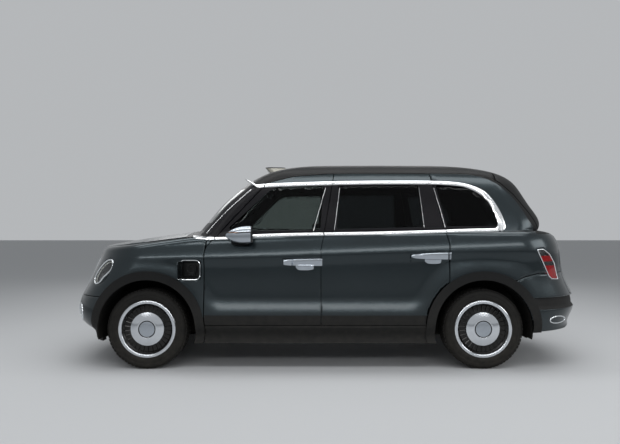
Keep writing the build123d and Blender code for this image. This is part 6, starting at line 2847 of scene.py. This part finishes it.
@dataclass
class Underbody:
    """What carries the cab: floor, battery, rails, arms, axle, engine, liners and springs."""

    def springs(self) -> None:
        """Make the rear coil springs and dampers."""
        for side, sign in (("left", -1), ("right", 1)):
            path = []
            for k in range(97):
                a = 2 * math.pi * 4 * k / 96
                path.append(
                    (REAR_AXLE + 0.046 * math.cos(a), sign * 0.520 + 0.046 * math.sin(a), 0.408 + 0.098 * k / 96)
                )
            piece_from(f"rear_spring_{side}", *tube(path, 0.0065, 10), SPRING_PAINT, "shell", 50)
            for label, radius, z0, z1 in (("cup_low", 0.060, 0.398, 0.406), ("cup_high", 0.060, 0.508, 0.516)):
                rings = []
                for r, z in ((radius - 0.004, z0), (radius, z0 + 0.002), (radius, z1 - 0.002), (radius - 0.004, z1)):
                    rings.append(
                        [
                            (REAR_AXLE + r * math.cos(a), sign * 0.520 + r * math.sin(a), z)
                            for a in (2 * math.pi * k / 40 for k in range(40))
                        ]
                    )
                piece_from(f"rear_spring_{label}_{side}", *loft(rings), CAST_IRON, "shell", 40)
            rings = []
            for z, r in ((0.300, 0.020), (0.320, 0.026), (0.430, 0.026), (0.434, 0.011), (0.515, 0.011)):
                rings.append(
                    [
                        (REAR_AXLE + 0.085 + r * math.cos(a), sign * 0.600 + r * math.sin(a), z)
                        for a in (2 * math.pi * k / 28 for k in range(28))
                    ]
                )
            piece_from(f"rear_damper_{side}", *loft(rings), CAST_ALLOY, "shell", 40)

    def engine(self) -> None:
        """Make the engine's ribbed cover and its filler cap."""
        redress("engine_block", [CAST_IRON, CAST_ALLOY], lambda c, n: 1 if c.z > 0.70 else 0)
        low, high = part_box("engine_block")
        rings = []
        for x in np.linspace(low.x + 0.10, high.x - 0.10, 30):
            t = (x - low.x - 0.10) / (high.x - low.x - 0.20)
            fat = 0.92 + 0.08 * math.sin(math.pi * t)
            z = high.z
            rings.append(
                [
                    (x, y * fat, z + rise) for y,
                    rise in (
                        (-0.24, 0.001), (-0.235, 0.026), (-0.21, 0.036), (-0.05, 0.042), (0.05, 0.042), (0.21, 0.036),
                        (0.235, 0.026), (0.24, 0.001)
                    )
                ]
            )
        piece_from("engine_cover", *loft(rings), BLACK_PLASTIC, "shell", 35)
        ribs = Seats()
        for k in range(9):
            ribs.add((low.x + 0.15 + 0.055 * k, 0.0, high.z + 0.043), (0, 0, 0), (0.010, 0.340, 0.008))
        ribs.set_out("engine_cover_ribs", "shell", BLACK_PLASTIC)
        cap = []
        for r, z in ((0.026, 0.040), (0.028, 0.046), (0.028, 0.060), (0.024, 0.066), (0.004, 0.066)):
            cap.append(
                [
                    (low.x + 0.30 + r * math.cos(a), 0.17 + r * math.sin(a), high.z + z)
                    for a in (2 * math.pi * k / 36 for k in range(36))
                ]
            )
        piece_from("oil_cap", *loft(cap), GRAB_YELLOW, "shell", 40)

    def arch_returns(self) -> None:
        """Close the gap between each wheel's liner and the skin with a black lip."""
        for end, axle in (("front", FRONT_AXLE), ("rear", REAR_AXLE)):
            for side, sign in (("left", -1), ("right", 1)):
                rings = []
                for k in range(81):
                    a = math.radians(-12 + 204 * k / 80)
                    rings.append([
                        (axle + r * math.cos(a), sign * y, AXLE_Z + r * math.sin(a))
                        for r, y in (
                            (0.4362, 0.700), (0.4362, 0.884), (0.4445, 0.884), (0.4445, 0.8295),
                            (0.4378, 0.8295), (0.4378, 0.700),
                        )
                    ])
                piece_from(f"arch_return_{end}_{side}", *loft(rings), LINER_FELT, "shell", 40)

    def battery_ribs(self) -> None:
        """Make the ribs and bolts under the battery's case."""
        low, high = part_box("battery_pack")
        ribs = Seats()
        for x in np.linspace(low.x + 0.09, high.x - 0.09, 15):
            ribs.add((x, 0, low.z - 0.003), (0, 0, 0), (0.016, (high.y - low.y) * 0.92, 0.008))
        ribs.set_out("battery_ribs", "shell", CAST_ALLOY)
        bolts = Seats()
        for x in np.linspace(low.x + 0.03, high.x - 0.03, 20):
            for y in (low.y + 0.02, high.y - 0.02):
                bolts.add((x, y, low.z - 0.004), (0, 0, 0), (0.013, 0.013, 0.010))
        bolts.set_out("battery_bolts", "shell", CAST_IRON, block="rod")

    def build(self) -> None:
        """Dress the nodes that stay and make what goes with them."""
        redress("floor_pan", [UNDERSEAL, CARPET], lambda c, n: 1 if n.z > 0.3 else 0)
        redress("battery_pack", [CAST_ALLOY])
        redress("front_rails", [UNDERSEAL])
        redress("front_suspension", [SUBFRAME])
        redress("rear_axle", [SUBFRAME])
        redress("knuckle_left", [CAST_IRON])
        redress("knuckle_right", [CAST_IRON])
        redress("wheel_arch_liners", [LINER_FELT])
        self.springs()
        self.arch_returns()
        self.engine()
        self.battery_ribs()


class Studio:
    """The pale floor, the soft lights and the world."""

    def build(self) -> None:
        """Make the floor, lamps, world and camera."""
        scene = bpy.context.scene
        scene.view_settings.view_transform = "Standard"
        self.floor()
        self.light("over", (0.0, -0.2, 5.2), (0, 0, 0), (9.0, 1.4), 150)
        self.light("shoulder", (0.0, -3.0, 4.9), (30, 0, 0), (9.0, 1.1), 115)
        self.light("streak", (0.0, -7.2, 3.5), (69, 0, 0), (11.0, 0.8), 140)
        self.light("tail", (6.5, -3.0, 2.6), (70, 0, 64), (3.0, 2.0), 60)
        self.light("far", (0.0, 6.0, 4.0), (-55, 0, 0), (8.0, 2.5), 90)
        world = bpy.data.worlds.new("world")
        world.use_nodes = True
        tree = world.node_tree
        tree.nodes.clear()
        path = add_node(tree, "ShaderNodeLightPath")
        clear = add_node(
            tree, "ShaderNodeMath", {
                0: path.outputs["Is Camera Ray"], 1: path.outputs["Is Glossy Ray"]
            }, operation="MAXIMUM",
        )
        direct = add_node(
            tree, "ShaderNodeMath", {
                0: clear.outputs[0], 1: path.outputs["Is Transmission Ray"]
            }, operation="MAXIMUM",
        )
        seen = add_node(tree, "ShaderNodeMath", {0: direct.outputs[0], 1: 0.20}, operation="MULTIPLY")
        level = add_node(tree, "ShaderNodeMath", {0: seen.outputs[0], 1: 0.34}, operation="ADD")
        sky = add_node(tree, "ShaderNodeBackground", {"Color": linear("#eef1f4"), "Strength": level.outputs[0]})
        add_node(tree, "ShaderNodeOutputWorld", {"Surface": sky.outputs[0]})
        scene.world = world
        VIEW.camera()

    def floor(self) -> None:
        """Lay a wide pale floor."""
        mesh = bpy.data.meshes.new("floor")
        mesh.from_pydata([(-60, -60, 0), (60, -60, 0), (60, 60, 0), (-60, 60, 0)], [], [(0, 1, 2, 3)])
        material = bpy.data.materials.new("floor_pale")
        material.use_nodes = True
        shader = material.node_tree.nodes["Principled BSDF"]
        shader.inputs["Base Color"].default_value = linear("#bfc1c3")
        shader.inputs["Roughness"].default_value = 0.7
        mesh.materials.append(material)
        floor = bpy.data.objects.new("floor", mesh)
        bpy.context.scene.collection.objects.link(floor)

    def light(self, name: str, place_at: Point, turn: Point, size: Flat, power: float) -> None:
        """Hang a soft area lamp.

        Args:
            name: The lamp's name.
            place_at: Its place.
            turn: Its turn in degrees.
            size: Its two sides in metres.
            power: Its power in watts.
        """
        data = bpy.data.lights.new(name, "AREA")
        data.shape = "RECTANGLE"
        data.size, data.size_y = size
        data.energy = power
        lamp = bpy.data.objects.new(name, data)
        lamp.location = place_at
        lamp.rotation_euler = [math.radians(a) for a in turn]
        bpy.context.scene.collection.objects.link(lamp)


def main() -> None:
    """Build the cab's looks, sub-assembly by sub-assembly."""
    logging.basicConfig(level=logging.INFO, format="%(name)s %(message)s")
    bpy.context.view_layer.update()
    coachwork = Coachwork()
    coachwork.build()
    BrightTrim(coachwork).build()
    for end, x in (("front", FRONT_AXLE), ("rear", REAR_AXLE)):
        for side, sign in (("left", -1), ("right", 1)):
            RoadWheel(f"{end}_{side}", x, sign).build()
    Windows(coachwork).build()
    SideFittings(coachwork).build()
    Lamps().build()
    FrontEnd().build()
    RearEnd().build()
    RoofSign().build()
    Cabin().build()
    Underbody().build()
    Studio().build()


if __name__ == "__main__":
    main()
